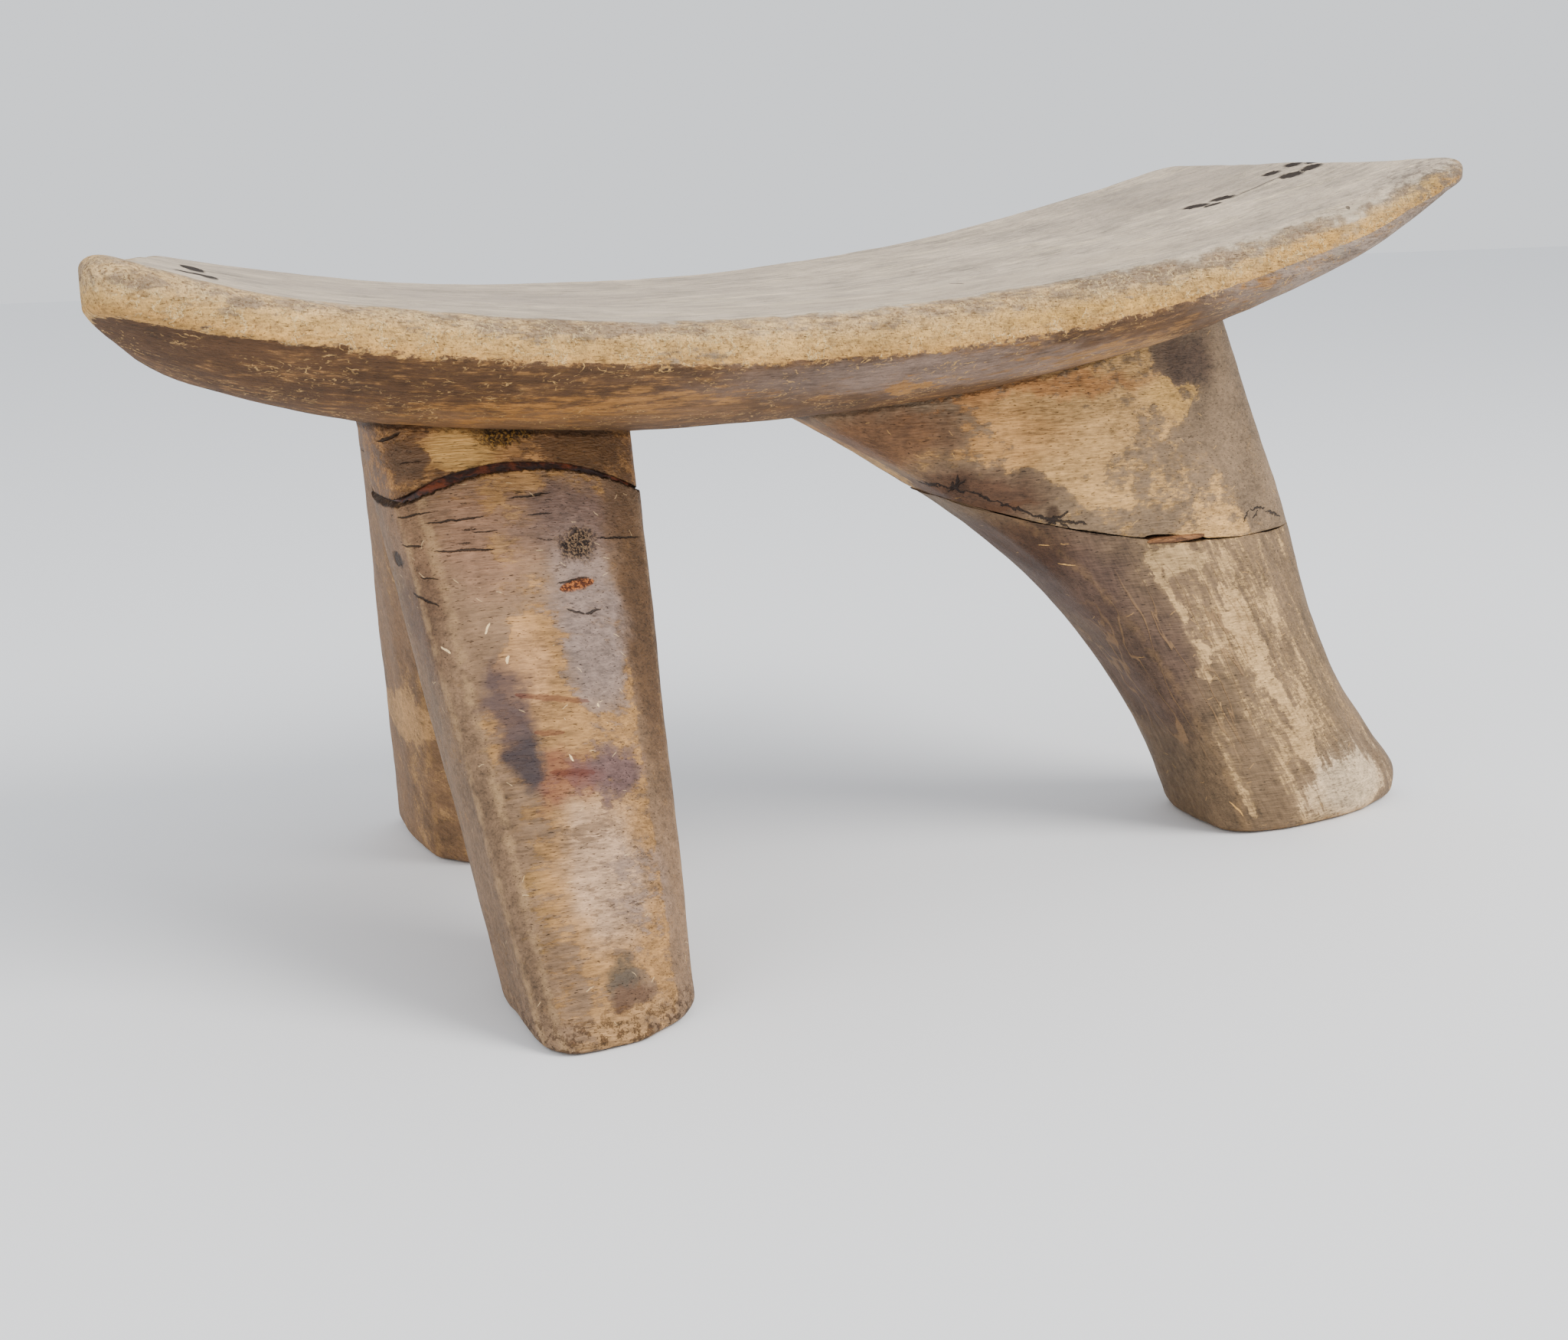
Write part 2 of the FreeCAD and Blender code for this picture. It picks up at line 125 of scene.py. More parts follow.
def closed_piece(name, rings):
    """A closed surface from rings of points; its first and last ring are closed by their middles.

    The faces are turned outwards by the sign of the volume that they enclose.
    """
    rows, columns = rings.shape[:2]
    points = np.vstack([rings.reshape(-1, 3), rings[0].mean(axis=0), rings[-1].mean(axis=0)])
    index = np.arange(rows * columns).reshape(rows, columns)
    beside = np.roll(index, -1, axis=1)
    quads = np.stack([index[:-1], beside[:-1], beside[1:], index[1:]], axis=-1).reshape(-1, 4)
    first, second, third, fourth = np.moveaxis(points[quads], 1, 0)
    volume = np.einsum("ij,ij->", first, np.cross(second, third) + np.cross(third, fourth))
    closing = np.full(columns, rows * columns)
    fans = [np.stack([beside[0], index[0], closing], axis=-1),
            np.stack([index[-1], beside[-1], closing + 1], axis=-1)]
    faces = [quads, *fans]
    if volume < 0:
        faces = [face[:, ::-1] for face in faces]
    mesh = bpy.data.meshes.new(name)
    mesh.from_pydata(points.tolist(), [], [face for group in faces for face in group.tolist()])
    mesh.polygons.foreach_set("use_smooth", np.ones(len(mesh.polygons), dtype=bool))
    piece = bpy.data.objects.new(name, mesh)
    bpy.context.collection.objects.link(piece)
    return piece


def store(piece, name, values):
    """Keep one number for each point of the piece, with the last ring's value at the closing points."""
    numbers = np.concatenate([values.ravel(), [values[0, 0], values[-1, 0]]]).astype(np.float32)
    piece.data.attributes.new(name, "FLOAT", "POINT").data.foreach_set("value", numbers)


# The outline from above starts at the near left corner. Both ends are slanted.
LEFT_END, RIGHT_END = LEFT_TIP - 0.0024, LEFT_TIP + SEAT_LENGTH + 0.0011
NEAR_LEFT = (LEFT_END, -HALF_WIDTH_LEFT)
outline = rounded_outline(
    np.array([NEAR_LEFT, (RIGHT_END, -HALF_WIDTH_RIGHT), (RIGHT_END - SLANT_RIGHT, HALF_WIDTH_RIGHT),
              (LEFT_END + SLANT_LEFT, HALF_WIDTH_LEFT)]),
    (CORNER_LEFT, CORNER_RIGHT, CORNER_RIGHT, CORNER_LEFT), SEAT_COLUMNS)
inward = np.roll(outline, -1, axis=0) - np.roll(outline, 1, axis=0)
inward = np.stack([-inward[:, 1], inward[:, 0]], axis=1) / np.linalg.norm(inward, axis=1, keepdims=True)

# Around the near left corner the rim is rounded a little deeper. The left end and the near right side
# are rounder below, where the wood runs up to them from the hull.
left_corner = np.exp(-np.sum((outline - NEAR_LEFT) ** 2, axis=1) / 0.040 ** 2)
from_corner = np.clip((HALF_WIDTH_LEFT - 0.006 - np.abs(outline[:, 1])) / 0.050, 0, 1)
left_end = np.clip(inward[:, 0], 0, 1) * from_corner ** 2 * (3 - 2 * from_corner)
right_side = np.clip((outline[:, 0] - 0.070) / 0.060, 0, 1) * (outline[:, 1] < 0)
rim_drop = RIM_DROP * (1 + 0.10 * left_corner)
thickness = seat_top(outline[:, 0]) - seat_lower(*outline.T)
lower_inset = LOWER_ROUND + 0.0200 * left_end + 0.0040 * right_side
lower_rise = LOWER_ROUND + 0.0090 * left_end + 0.0035 * right_side
lower_rise = np.minimum(lower_rise, 0.6 * (thickness - rim_drop))

# The rim, from the face round to the underside: inset from the outline, share of the way down from
# face to underside, and lift above that height.
quarter = np.linspace(0, np.pi / 2, ROUND_ROWS)[:, None]
inset = np.vstack([
    (1 - np.sin(quarter)) * np.full(SEAT_COLUMNS, RIM_WIDTH), np.zeros((ROUND_ROWS - 2, SEAT_COLUMNS)),
    (1 - np.sin(quarter))[::-1] * lower_inset])
share = np.concatenate([np.zeros(ROUND_ROWS), np.linspace(0, 1, ROUND_ROWS)[1:-1], np.ones(ROUND_ROWS)])
lift = np.vstack([
    -(1 - np.cos(quarter)) * rim_drop, np.linspace(-rim_drop, lower_rise, ROUND_ROWS)[1:-1],
    (1 - np.cos(quarter))[::-1] * lower_rise])
rim = outline[None] + inward[None] * inset[..., None]
middle = outline.mean(axis=0)
spread = np.sqrt(np.linspace(0.0004, 1, FACE_ROWS + 1))[:-1, None, None]
plan = np.concatenate([
    middle + (rim[0] - middle) * spread, rim, middle + (rim[-1] - middle) * spread[::-1]])
share = np.concatenate([np.zeros(FACE_ROWS), share, np.ones(FACE_ROWS)])[:, None]
flat = np.zeros((FACE_ROWS, SEAT_COLUMNS))
lift = np.vstack([flat, lift, flat])
x, y = plan[..., 0], plan[..., 1]
lower = seat_lower(x, y)


def swelling(corner, rise):
    """A low swelling of the seat's face around a corner: a bell curve of the distance from it."""
    return rise * np.exp(-((x - corner[0]) ** 2 + (y - corner[1]) ** 2) / 0.035 ** 2)


# The face stands up a little at the two near corners and along the left end. Close under the highest
# point of the solids it levels off.
HIGHEST, LEVELLING = 0.2379, 0.0004
roll = swelling(NEAR_LEFT, 0.0028) + swelling((LEFT_TIP + SEAT_LENGTH, -HALF_WIDTH_RIGHT), 0.0008)
roll += 0.0012 * np.exp(-((x - LEFT_TIP - 0.018 * (1 + y / HALF_WIDTH_LEFT)) / 0.030) ** 2)
height = (1 - share) * (seat_top(x) + roll) + share * lower + lift
height = np.minimum(height, HIGHEST - LEVELLING * np.log1p(np.exp((HIGHEST - height) / LEVELLING)))
seat_rings = np.stack([x, y, height], axis=-1)
long_cuts, small_cuts = wander(seat_rings * (0.5, 1, 1), 0.045, 3), wander(seat_rings, 0.012, 4)
carved = 0.00035 * (1 + long_cuts) + 0.0001 * (1 + small_cuts)
seat_rings -= outward(seat_rings) * carved[..., None]
seat = closed_piece("seat_board", seat_rings)
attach(seat, "root")
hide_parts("seat")

# How far a point lies past the lower edge of the rim, towards the underside, and how far it lies
# inside the face's edge.
from_outline = np.linalg.norm(plan - outline, axis=-1)
past_edge = np.where(share > 0.999, from_outline, lower - height)
# Near the left corner the stored distance is moved 3 mm down the rim. On the near right side it is
# moved 3 mm up, so that the dark colour of the underside reaches higher there: painted shade of the
# lower rim, which faces down.
store(seat, "past_edge", past_edge - 0.0030 * left_corner + 0.0030 * right_side)
store(seat, "inside_rim", np.where(share < 0.001, from_outline, -0.002))


def wire(tree, kind, *values, pick=0, **settings):
    """Add a node, or a node group, set or join its inputs in order, and give one of its outputs."""
    is_group = isinstance(kind, bpy.types.NodeTree)
    node = tree.nodes.new("ShaderNodeGroup" if is_group else "ShaderNode" + kind)
    if is_group:
        node.node_tree = kind
    for setting, value in settings.items():
        setattr(node, setting, value)
    for socket, value in zip(node.inputs, values):
        if isinstance(value, bpy.types.NodeSocket):
            tree.links.new(value, socket)
        elif value is not None:
            socket.default_value = value
    return node.outputs[pick]


def calc(tree, operation, *values):
    """One sum on numbers."""
    return wire(tree, "Math", *values, operation=operation)


def times(tree, one, other):
    """The product of two numbers."""
    return calc(tree, "MULTIPLY", one, other)


def added(tree, value, share, start):
    """Start, with a share of the value added."""
    return calc(tree, "MULTIPLY_ADD", value, share, start)


def larger(tree, one, other):
    """The larger of two numbers."""
    return calc(tree, "MAXIMUM", one, other)


def reckon(tree, operation, *values, pick=0):
    """One sum on vectors; pick 1 gives the operation's number."""
    return wire(tree, "VectorMath", *values, pick=pick, operation=operation)


def stretched(tree, place, factors):
    """A place with each of its axes multiplied by its own factor."""
    return reckon(tree, "MULTIPLY", place, factors)


def stored(tree, name):
    """The number that the piece keeps under that name for each of its points."""
    return wire(tree, "Attribute", pick=2, attribute_name=name)


def noise(tree, place, scale, detail=4.0, rough=0.55, pick=0):
    """Cloudy noise around 0.5 with that many waves in a metre."""
    return wire(tree, "TexNoise", place, None, scale, detail, rough, pick=pick)


def centred(tree, cloud):
    """A noise moved to lie around 0."""
    return calc(tree, "SUBTRACT", cloud, 0.5)


def fade(tree, value, start, end):
    """0 before start, 1 past end, and smooth between them."""
    return wire(tree, "MapRange", value, start, end, 0.0, 1.0, interpolation_type="SMOOTHSTEP")


def blend(tree, share, under, over):
    """One colour over another."""
    colors = (None, None, None, None, None, under, over)
    return wire(tree, "Mix", share, *colors, pick=2, data_type="RGBA")


def paint(tree, under, mask, strength, over):
    """Lay a colour over another one where the mask says, with that strength."""
    return blend(tree, times(tree, mask, strength), under, over)


def tone(red, green, blue):
    """A colour from screen values of 0 to 255."""
    shares = np.array([red, green, blue]) / 255
    linear = np.where(shares > 0.04045, ((shares + 0.055) / 1.055) ** 2.4, shares / 12.92)
    return (*linear.tolist(), 1.0)


def new_group(name, inputs, outputs):
    """An empty node group; gives its tree, its input values, and the sockets of its results."""
    tree = bpy.data.node_groups.new(name, "ShaderNodeTree")
    for label, kind in inputs:
        tree.interface.new_socket(name=label, in_out="INPUT", socket_type="NodeSocket" + kind)
    for label, kind in outputs:
        tree.interface.new_socket(name=label, in_out="OUTPUT", socket_type="NodeSocket" + kind)
    given = tree.nodes.new("NodeGroupInput").outputs[:len(inputs)]
    return tree, given, tree.nodes.new("NodeGroupOutput").inputs


# Ragged place: the same place, pushed aside by about the given reach, so that what is laid at it gets
# an uneven edge.
ragged, (place, reach, scale), result = new_group(
    "ragged place", [("Place", "Vector"), ("Reach", "Float"), ("Scale", "Float")],
    [("Place", "Vector")])
cloud = noise(ragged, place, scale, 5.0, 0.6, pick=1)
shift = reckon(ragged, "SUBTRACT", cloud, (0.5, 0.5, 0.5))
shift = reckon(ragged, "SCALE", shift, None, None, times(ragged, reach, 4.0))
ragged.links.new(reckon(ragged, "ADD", place, shift), result[0])

# Stain: an egg-shaped area that fades towards its edge.
stain, (place, centre, reach), result = new_group(
    "stain", [("Place", "Vector"), ("Centre", "Vector"), ("Reach", "Vector")], [("Mask", "Float")])
offset = reckon(stain, "DIVIDE", reckon(stain, "SUBTRACT", place, centre), reach)
stain.links.new(fade(stain, reckon(stain, "LENGTH", offset, pick=1), 1.0, 0.35), result[0])

# Slit: a narrow lens from one point to another. Flatten says how much each axis counts, so that a
# point a little above or below the surface still marks it.
slit, (place, start, end, widest, flatten), result = new_group(
    "slit", [("Place", "Vector"), ("From", "Vector"), ("To", "Vector"), ("Half width", "Float"),
             ("Flatten", "Vector")], [("Mask", "Float")])
way = stretched(slit, reckon(slit, "SUBTRACT", end, start), flatten)
here = stretched(slit, reckon(slit, "SUBTRACT", place, start), flatten)
length = reckon(slit, "DOT_PRODUCT", way, way, pick=1)
part = calc(slit, "DIVIDE", reckon(slit, "DOT_PRODUCT", here, way, pick=1), length)
part = wire(slit, "Clamp", part, 0.0, 1.0)
beside = reckon(slit, "DISTANCE", here, reckon(slit, "SCALE", way, None, None, part), pick=1)
belly = calc(slit, "SQRT", times(slit, times(slit, part, 4.0), calc(slit, "SUBTRACT", 1.0, part)))
half_width = times(slit, widest, calc(slit, "ADD", times(slit, belly, 0.85), 0.15))
slit.links.new(fade(slit, calc(slit, "DIVIDE", beside, half_width), 1.15, 0.55), result[0])

# Scratches: short straight nicks in random directions, one in some of the cells that space is split
# into. Each is laid flat on the surface.
scratches, (place, crowding, half_length, half_width, share), result = new_group(
    "scratches", [("Place", "Vector"), ("Cells", "Float"), ("Half length", "Float"),
                  ("Half width", "Float"), ("Share", "Float")], [("Mask", "Float")])
cells = scratches.nodes.new("ShaderNodeTexVoronoi")
scratches.links.new(place, cells.inputs["Vector"])
scratches.links.new(crowding, cells.inputs["Scale"])
facing = wire(scratches, "NewGeometry", pick=1)
local = reckon(scratches, "SUBTRACT", place, cells.outputs["Position"])
local = reckon(scratches, "SUBTRACT", local, reckon(scratches, "PROJECT", local, facing))
course = reckon(scratches, "SUBTRACT", cells.outputs["Color"], (0.5, 0.5, 0.5))
course = reckon(scratches, "SUBTRACT", course, reckon(scratches, "PROJECT", course, facing))
line = reckon(scratches, "PROJECT", local, course)
across = calc(scratches, "DIVIDE", reckon(scratches, "DISTANCE", local, line, pick=1), half_width)
along = calc(scratches, "DIVIDE", reckon(scratches, "LENGTH", line, pick=1), half_length)
mask = times(scratches, fade(scratches, across, 1.1, 0.5), fade(scratches, along, 1.1, 0.7))
chance = wire(scratches, "SeparateColor", cells.outputs["Color"])
chosen = calc(scratches, "LESS_THAN", chance, share)
scratches.links.new(times(scratches, mask, chosen), result[0])


def waver(tree, start, clouds):
    """A number that wavers around start with several noises, each with its share."""
    for cloud, share in clouds:
        start = added(tree, centred(tree, cloud), share, start)
    return start


# Worn film: a dark film of handling and smoke over bare wood, worn off in ragged islands. Cover is
# how much of it is left. The fibres of the wood run along the stool.
worn_film, (place, cover, bare, film, crowding, film_place, fibre), result = new_group(
    "worn film", [("Place", "Vector"), ("Cover", "Float"), ("Bare", "Color"), ("Film", "Color"),
                  ("Islands", "Float"), ("Film place", "Vector"), ("Fibre", "Float")],
    [("Color", "Color"), ("Height", "Float"), ("Film left", "Float")])
fine_fibres = noise(worn_film, stretched(worn_film, place, (160.0, 1700.0, 1700.0)), 1.0, 2.0)
fibres = noise(worn_film, stretched(worn_film, place, (30.0, 360.0, 360.0)), 1.0, 4.0, 0.6)
pores = noise(worn_film, stretched(worn_film, place, (420.0, 2600.0, 2600.0)), 1.0, 1.0)
clouds = noise(worn_film, place, 40.0, 3.0)
flecks = noise(worn_film, stretched(worn_film, place, (200.0, 900.0, 900.0)), 1.0, 3.0, 0.6)
mottle = noise(worn_film, film_place, 620.0, 5.0, 0.72)
islands = noise(worn_film, film_place, crowding, 6.0, 0.70)
amount = waver(worn_film, islands, [(cover, 0.9), (fibres, 0.20), (flecks, 0.35), (mottle, 0.30)])
left = calc(worn_film, "ADD", fade(worn_film, amount, 0.46, 0.53), fade(worn_film, amount, 0.36, 0.68))
left = times(worn_film, left, 0.5)
streaky = times(worn_film, fibre, 1.4)
grainy = calc(worn_film, "SUBTRACT", 2.2, fibre)
bare_light = waver(worn_film, 1.0, [
    (fine_fibres, streaky), (fibres, streaky), (clouds, 1.0), (mottle, grainy)])
film_light = waver(worn_film, 1.0, [(fine_fibres, 0.9), (fibres, 0.9), (clouds, 1.2), (mottle, 1.6)])
bare_light = wire(worn_film, "Clamp", bare_light, 0.3, 1.6)
film_light = wire(worn_film, "Clamp", film_light, 0.3, 1.6)
bare = reckon(worn_film, "SCALE", bare, None, None, bare_light)
film = reckon(worn_film, "SCALE", film, None, None, film_light)
color = blend(worn_film, left, bare, film)
pits = fade(worn_film, pores, 0.66, 0.78)
color = blend(worn_film, times(worn_film, pits, 0.55), color, (0.0, 0.0, 0.0, 1.0))
height = calc(worn_film, "ADD", times(worn_film, fine_fibres, 0.70), times(worn_film, fibres, 0.5))
height = calc(worn_film, "ADD", height, times(worn_film, left, 0.25))
height = calc(worn_film, "SUBTRACT", height, times(worn_film, pits, 0.6))
for number, value in enumerate((color, height, left)):
    worn_film.links.new(value, result[number])


def worn_wood(tree, place, cover, bare, film, islands, film_place, fibre=1.0):
    """Bare wood under a worn film: its colour, its height, and how much film is left."""
    values = (place, cover, bare, film, islands, film_place, fibre)
    return wire(tree, worn_film, *values, pick=slice(3))


def lay(tree, place, color, stains):
    """Lay stains over a colour, each a centre, a reach, a colour and a strength."""
    for centre, reach, tint, strength in stains:
        color = paint(tree, color, wire(tree, stain, place, centre, reach), strength, tone(*tint))
    return color


def amount_of(tree, place, start, spots):
    """A number that changes over the surface: start, with a share added within each spot."""
    for centre, reach, share in spots:
        start = added(tree, wire(tree, stain, place, centre, reach), share, start)
    return start


def slits(tree, place, flatten, lines):
    """All slits of one kind as one mask, each from a point to a point with its half width."""
    mask = 0.0
    for start, end, half_width in lines:
        mask = larger(tree, mask, wire(tree, slit, place, start, end, half_width, flatten))
    return mask


def new_material(piece, name):
    """A material with nodes on the piece; gives its tree and the place on the surface."""
    material = bpy.data.materials.new(name)
    material.use_nodes = True
    piece.data.materials.append(material)
    return material.node_tree, wire(material.node_tree, "TexCoord", pick=3)


# Relief of a wood's finest grain in metres, and the trace of gloss that handling has left on it.
GRAIN_RELIEF, GRAIN_COAT = 0.0007, 0.02


def join_finish(piece, color, roughness, height, depth=GRAIN_RELIEF, coat=GRAIN_COAT):
    """Join colour, roughness and the height of the relief to the shader of the piece's material."""
    tree = piece.data.materials[0].node_tree
    shader = tree.nodes["Principled BSDF"]
    bump = tree.nodes.new("ShaderNodeBump")
    bump.inputs["Distance"].default_value = depth
    tree.links.new(height, bump.inputs["Height"])
    tree.links.new(bump.outputs[0], shader.inputs["Normal"])
    tree.links.new(color, shader.inputs["Base Color"])
    tree.links.new(roughness, shader.inputs["Roughness"])
    shader.inputs["Coat Weight"].default_value = coat
    shader.inputs["Coat Roughness"].default_value = 0.35
    shader.inputs["Specular IOR Level"].default_value = 0.22


# Finish of the seat: a grey polished face, a pale fuzzy rim where the film is rubbed off, and a dark
# underside with streaks of bare wood.
FLAT_ON_FACE = (1.0, 1.0, 0.1)
tree, place = new_material(seat, "worn seat wood")
near_place = wire(tree, ragged, place, 0.0004, 300.0)
wide_place = wire(tree, ragged, place, 0.005, 70.0)
past_edge = stored(tree, "past_edge")
inside_rim = stored(tree, "inside_rim")
fray = centred(tree, noise(tree, stretched(tree, place, (0.6, 1.0, 1.0)), 380.0, 6.0, 0.7))
drift = centred(tree, noise(tree, place, 60.0, 4.0, 0.6))
under = added(tree, fray, 0.0070, added(tree, drift, 0.003, past_edge))
under = fade(tree, under, -0.0006, 0.0005)
face_place = added(tree, fray, 0.009, added(tree, drift, 0.016, inside_rim))
east = wire(tree, "SeparateXYZ", place)
eastward = fade(tree, east, 0.03, 0.13)
face_place = added(tree, eastward, 0.0050, face_place)
face = fade(tree, face_place, 0.0035, 0.0095)

face_color, face_height = worn_wood(
    tree, place, 0.62, tone(212, 192, 162), tone(178, 161, 140), 150.0,
    stretched(tree, place, (0.10, 1.0, 1.0)))[:2]
face_color = lay(tree, wide_place, face_color, [
    ((0.030, -0.060, 0.200), (0.150, 0.022, 0.05), (186, 166, 140), 0.35),
    ((0.150, 0.030, 0.230), (0.060, 0.050, 0.05), (140, 126, 112), 0.45),
    ((-0.120, 0.010, 0.195), (0.080, 0.050, 0.05), (160, 144, 128), 0.40)])

upper_roll = fade(tree, added(tree, fray, 0.006, past_edge), -0.0060, -0.0125)
upper_roll = times(tree, upper_roll, added(tree, eastward, 0.40, 0.60))
rim_cover = amount_of(tree, wide_place, added(tree, upper_roll, 0.42, 0.24), [
    ((-0.2120, -0.096, 0.2068), (0.006, 0.03, 0.0030), 0.20),
    ((-0.2000, -0.096, 0.2030), (0.008, 0.03, 0.0030), 0.22),
    ((-0.2260, -0.096, 0.2120), (0.012, 0.03, 0.0030), 0.14),
    ((-0.1726, -0.096, 0.1975), (0.012, 0.03, 0.0050), 0.10),
    ((-0.0800, -0.093, 0.1870), (0.030, 0.03, 0.0040), 0.22),
    ((0.1780, -0.085, 0.2340), (0.030, 0.03, 0.0070), 0.34),
    ((-0.1200, -0.094, 0.1960), (0.060, 0.03, 0.0030), 0.20),
    ((0.0600, -0.090, 0.2060), (0.090, 0.03, 0.0040), 0.24),
    ((0.0000, 0.085, 0.2000), (0.260, 0.04, 0.0600), 0.40),
    ((0.1900, 0.000, 0.2350), (0.014, 0.09, 0.0200), 0.35)])
rim_bare = lay(tree, wide_place, tone(204, 162, 98), [
    ((0.1300, -0.087, 0.2130), (0.050, 0.03, 0.0080), (202, 154, 80), 0.85),
    ((0.1650, -0.085, 0.2260), (0.030, 0.03, 0.0060), (198, 160, 96), 0.85),
    ((0.0400, -0.090, 0.1960), (0.070, 0.03, 0.0060), (206, 160, 84), 0.70)])
low_strip = fade(tree, added(tree, fray, 0.006, past_edge), -0.0065, -0.0005)
rim_bare = paint(tree, rim_bare, low_strip, 0.65, tone(192, 142, 74))
rim_bare = paint(tree, rim_bare, upper_roll, 0.75, tone(216, 188, 148))
under_cover = amount_of(tree, wide_place, 0.62, [
    ((-0.100, -0.075, 0.173), (0.070, 0.05, 0.0080), -0.18),
    ((-0.215, -0.090, 0.200), (0.040, 0.04, 0.0120), 0.22),
    ((0.080, -0.070, 0.178), (0.050, 0.04, 0.0120), -0.16),
    ((0.0020, -0.0760, 0.1725), (0.0100, 0.03, 0.0028), -0.70),
    ((-0.020, -0.080, 0.180), (0.060, 0.03, 0.0060), 0.18)])
under_bare = lay(tree, wide_place, tone(168, 122, 72), [
    ((0.070, -0.050, 0.178), (0.075, 0.05, 0.0150), (158, 120, 78), 0.85),
    ((0.170, -0.080, 0.215), (0.080, 0.05, 0.0400), (156, 128, 100), 0.90),
    ((-0.130, -0.070, 0.172), (0.070, 0.05, 0.0120), (172, 120, 62), 0.80)])
under_film = lay(tree, wide_place, tone(94, 68, 46), [
    ((-0.200, -0.080, 0.190), (0.110, 0.06, 0.0300), (84, 58, 36), 0.90),
    ((0.020, -0.075, 0.178), (0.120, 0.05, 0.0120), (142, 120, 106), 0.85),
    ((0.160, -0.080, 0.210), (0.100, 0.05, 0.0400), (152, 134, 120), 0.90),
    ((-0.110, -0.060, 0.166), (0.100, 0.04, 0.0080), (142, 106, 72), 0.70)])
edge_cover = wire(tree, "Mix", under, None, rim_cover, under_cover)
edge_bare = blend(tree, under, rim_bare, under_bare)
edge_film = blend(tree, under, tone(150, 128, 102), under_film)
edge_color, edge_height = worn_wood(
    tree, place, edge_cover, edge_bare, edge_film, 260.0, stretched(tree, place, (0.40, 1.0, 1.0)),
    added(tree, under, 0.7, 0.3))[:2]
clusters = fade(tree, noise(tree, place, 60.0, 3.0), 0.46, 0.56)
torn_place = wire(tree, ragged, place, 0.0010, 420.0)
nicks = stretched(tree, torn_place, (0.9, 1.0, 1.2))
nicks = wire(tree, scratches, nicks, 170.0, 0.0018, 0.00028, 0.60)
small_nicks = wire(tree, scratches, torn_place, 420.0, 0.0008, 0.00020, 0.50)
nicks = larger(tree, nicks, times(tree, small_nicks, 0.8))
chips = noise(tree, stretched(tree, near_place, (330.0, 1000.0, 1000.0)), 1.0, 3.0, 0.6)
chips = times(tree, fade(tree, chips, 0.62, 0.70), 0.7)
nicks = times(tree, larger(tree, nicks, chips), times(tree, clusters, under))
fuzzy = calc(tree, "SUBTRACT", 1.0, under)
curls = calc(tree, "ABSOLUTE", centred(tree, noise(tree, near_place, 300.0, 3.0, 0.6)))
curls = times(tree, fade(tree, curls, 0.034, 0.008), fuzzy)
patches = noise(tree, place, 150.0, 3.0)
fuzz = times(tree, curls, fade(tree, patches, 0.46, 0.56))
dark_curls = times(tree, times(tree, curls, fade(tree, patches, 0.52, 0.42)), upper_roll)
grains = noise(tree, place, 1250.0, 3.0, 0.7)
edge_color = paint(tree, edge_color, nicks, 0.90, tone(212, 168, 104))
edge_color = paint(tree, edge_color, fuzz, 0.55, tone(238, 206, 150))
edge_color = paint(tree, edge_color, dark_curls, 0.60, tone(104, 78, 56))
specks = noise(tree, stretched(tree, near_place, (0.6, 1.0, 1.0)), 640.0, 4.0, 0.7)
specks = fade(tree, specks, 0.50, 0.36)
specks = times(tree, specks, times(tree, fuzzy, added(tree, upper_roll, 0.35, 0.35)))
edge_color = blend(tree, specks, edge_color, tone(112, 86, 62))
dim = calc(tree, "SUBTRACT", 0.70, times(tree, under, 0.45))
dim = times(tree, fade(tree, grains, 0.50, 0.30), dim)
edge_color = blend(tree, dim, edge_color, tone(96, 66, 36))

color = blend(tree, face, edge_color, face_color)
# A thin pale line just inside the face's edge: painted highlight on the polished arris.
arris_highlight = times(tree, fade(tree, face_place, 0.0062, 0.0078), fade(tree, face_place, 0.0100, 0.0084))
color = paint(tree, color, arris_highlight, 0.30, tone(226, 210, 184))
tip = wire(tree, stain, wide_place, (0.186, -0.082, 0.232), (0.050, 0.028, 0.03))
tip_specks = noise(tree, stretched(tree, near_place, (0.6, 1.0, 1.0)), 420.0, 5.0, 0.7)
tip_specks = fade(tree, tip_specks, 0.52, 0.42)
color = blend(tree, times(tree, tip, times(tree, tip_specks, 0.75)), color, tone(112, 96, 82))
mark_place = wire(tree, ragged, place, 0.0009, 500.0)
burnt = slits(tree, mark_place, FLAT_ON_FACE, [
    ((0.1330, -0.0110, 0.221), (0.1385, -0.0080, 0.222), 0.0056),
    ((0.1350, -0.0160, 0.222), (0.1410, -0.0165, 0.223), 0.0024),
    ((0.1425, -0.0130, 0.223), (0.1475, -0.0100, 0.224), 0.0054),
    ((0.1675, -0.0145, 0.230), (0.1745, -0.0125, 0.232), 0.0050),
    ((0.1690, -0.0030, 0.231), (0.1735, 0.0000, 0.232), 0.0036),
    ((0.1755, -0.0150, 0.232), (0.1830, -0.0120, 0.234), 0.0040),
    ((0.1780, -0.0020, 0.233), (0.1835, 0.0000, 0.234), 0.0040),
    ((0.1825, -0.0090, 0.234), (0.1865, -0.0030, 0.235), 0.0024)])
burnt = larger(tree, burnt, slits(tree, mark_place, (1.0, 0.2, 0.1), [
    ((-0.1988, 0.0130, 0.2101), (-0.1930, 0.0100, 0.2091), 0.0034),
    ((-0.2010, -0.0310, 0.2103), (-0.1956, -0.0350, 0.2093), 0.0042),
    ((-0.2050, -0.0240, 0.2110), (-0.1985, -0.0335, 0.2098), 0.0026)]))
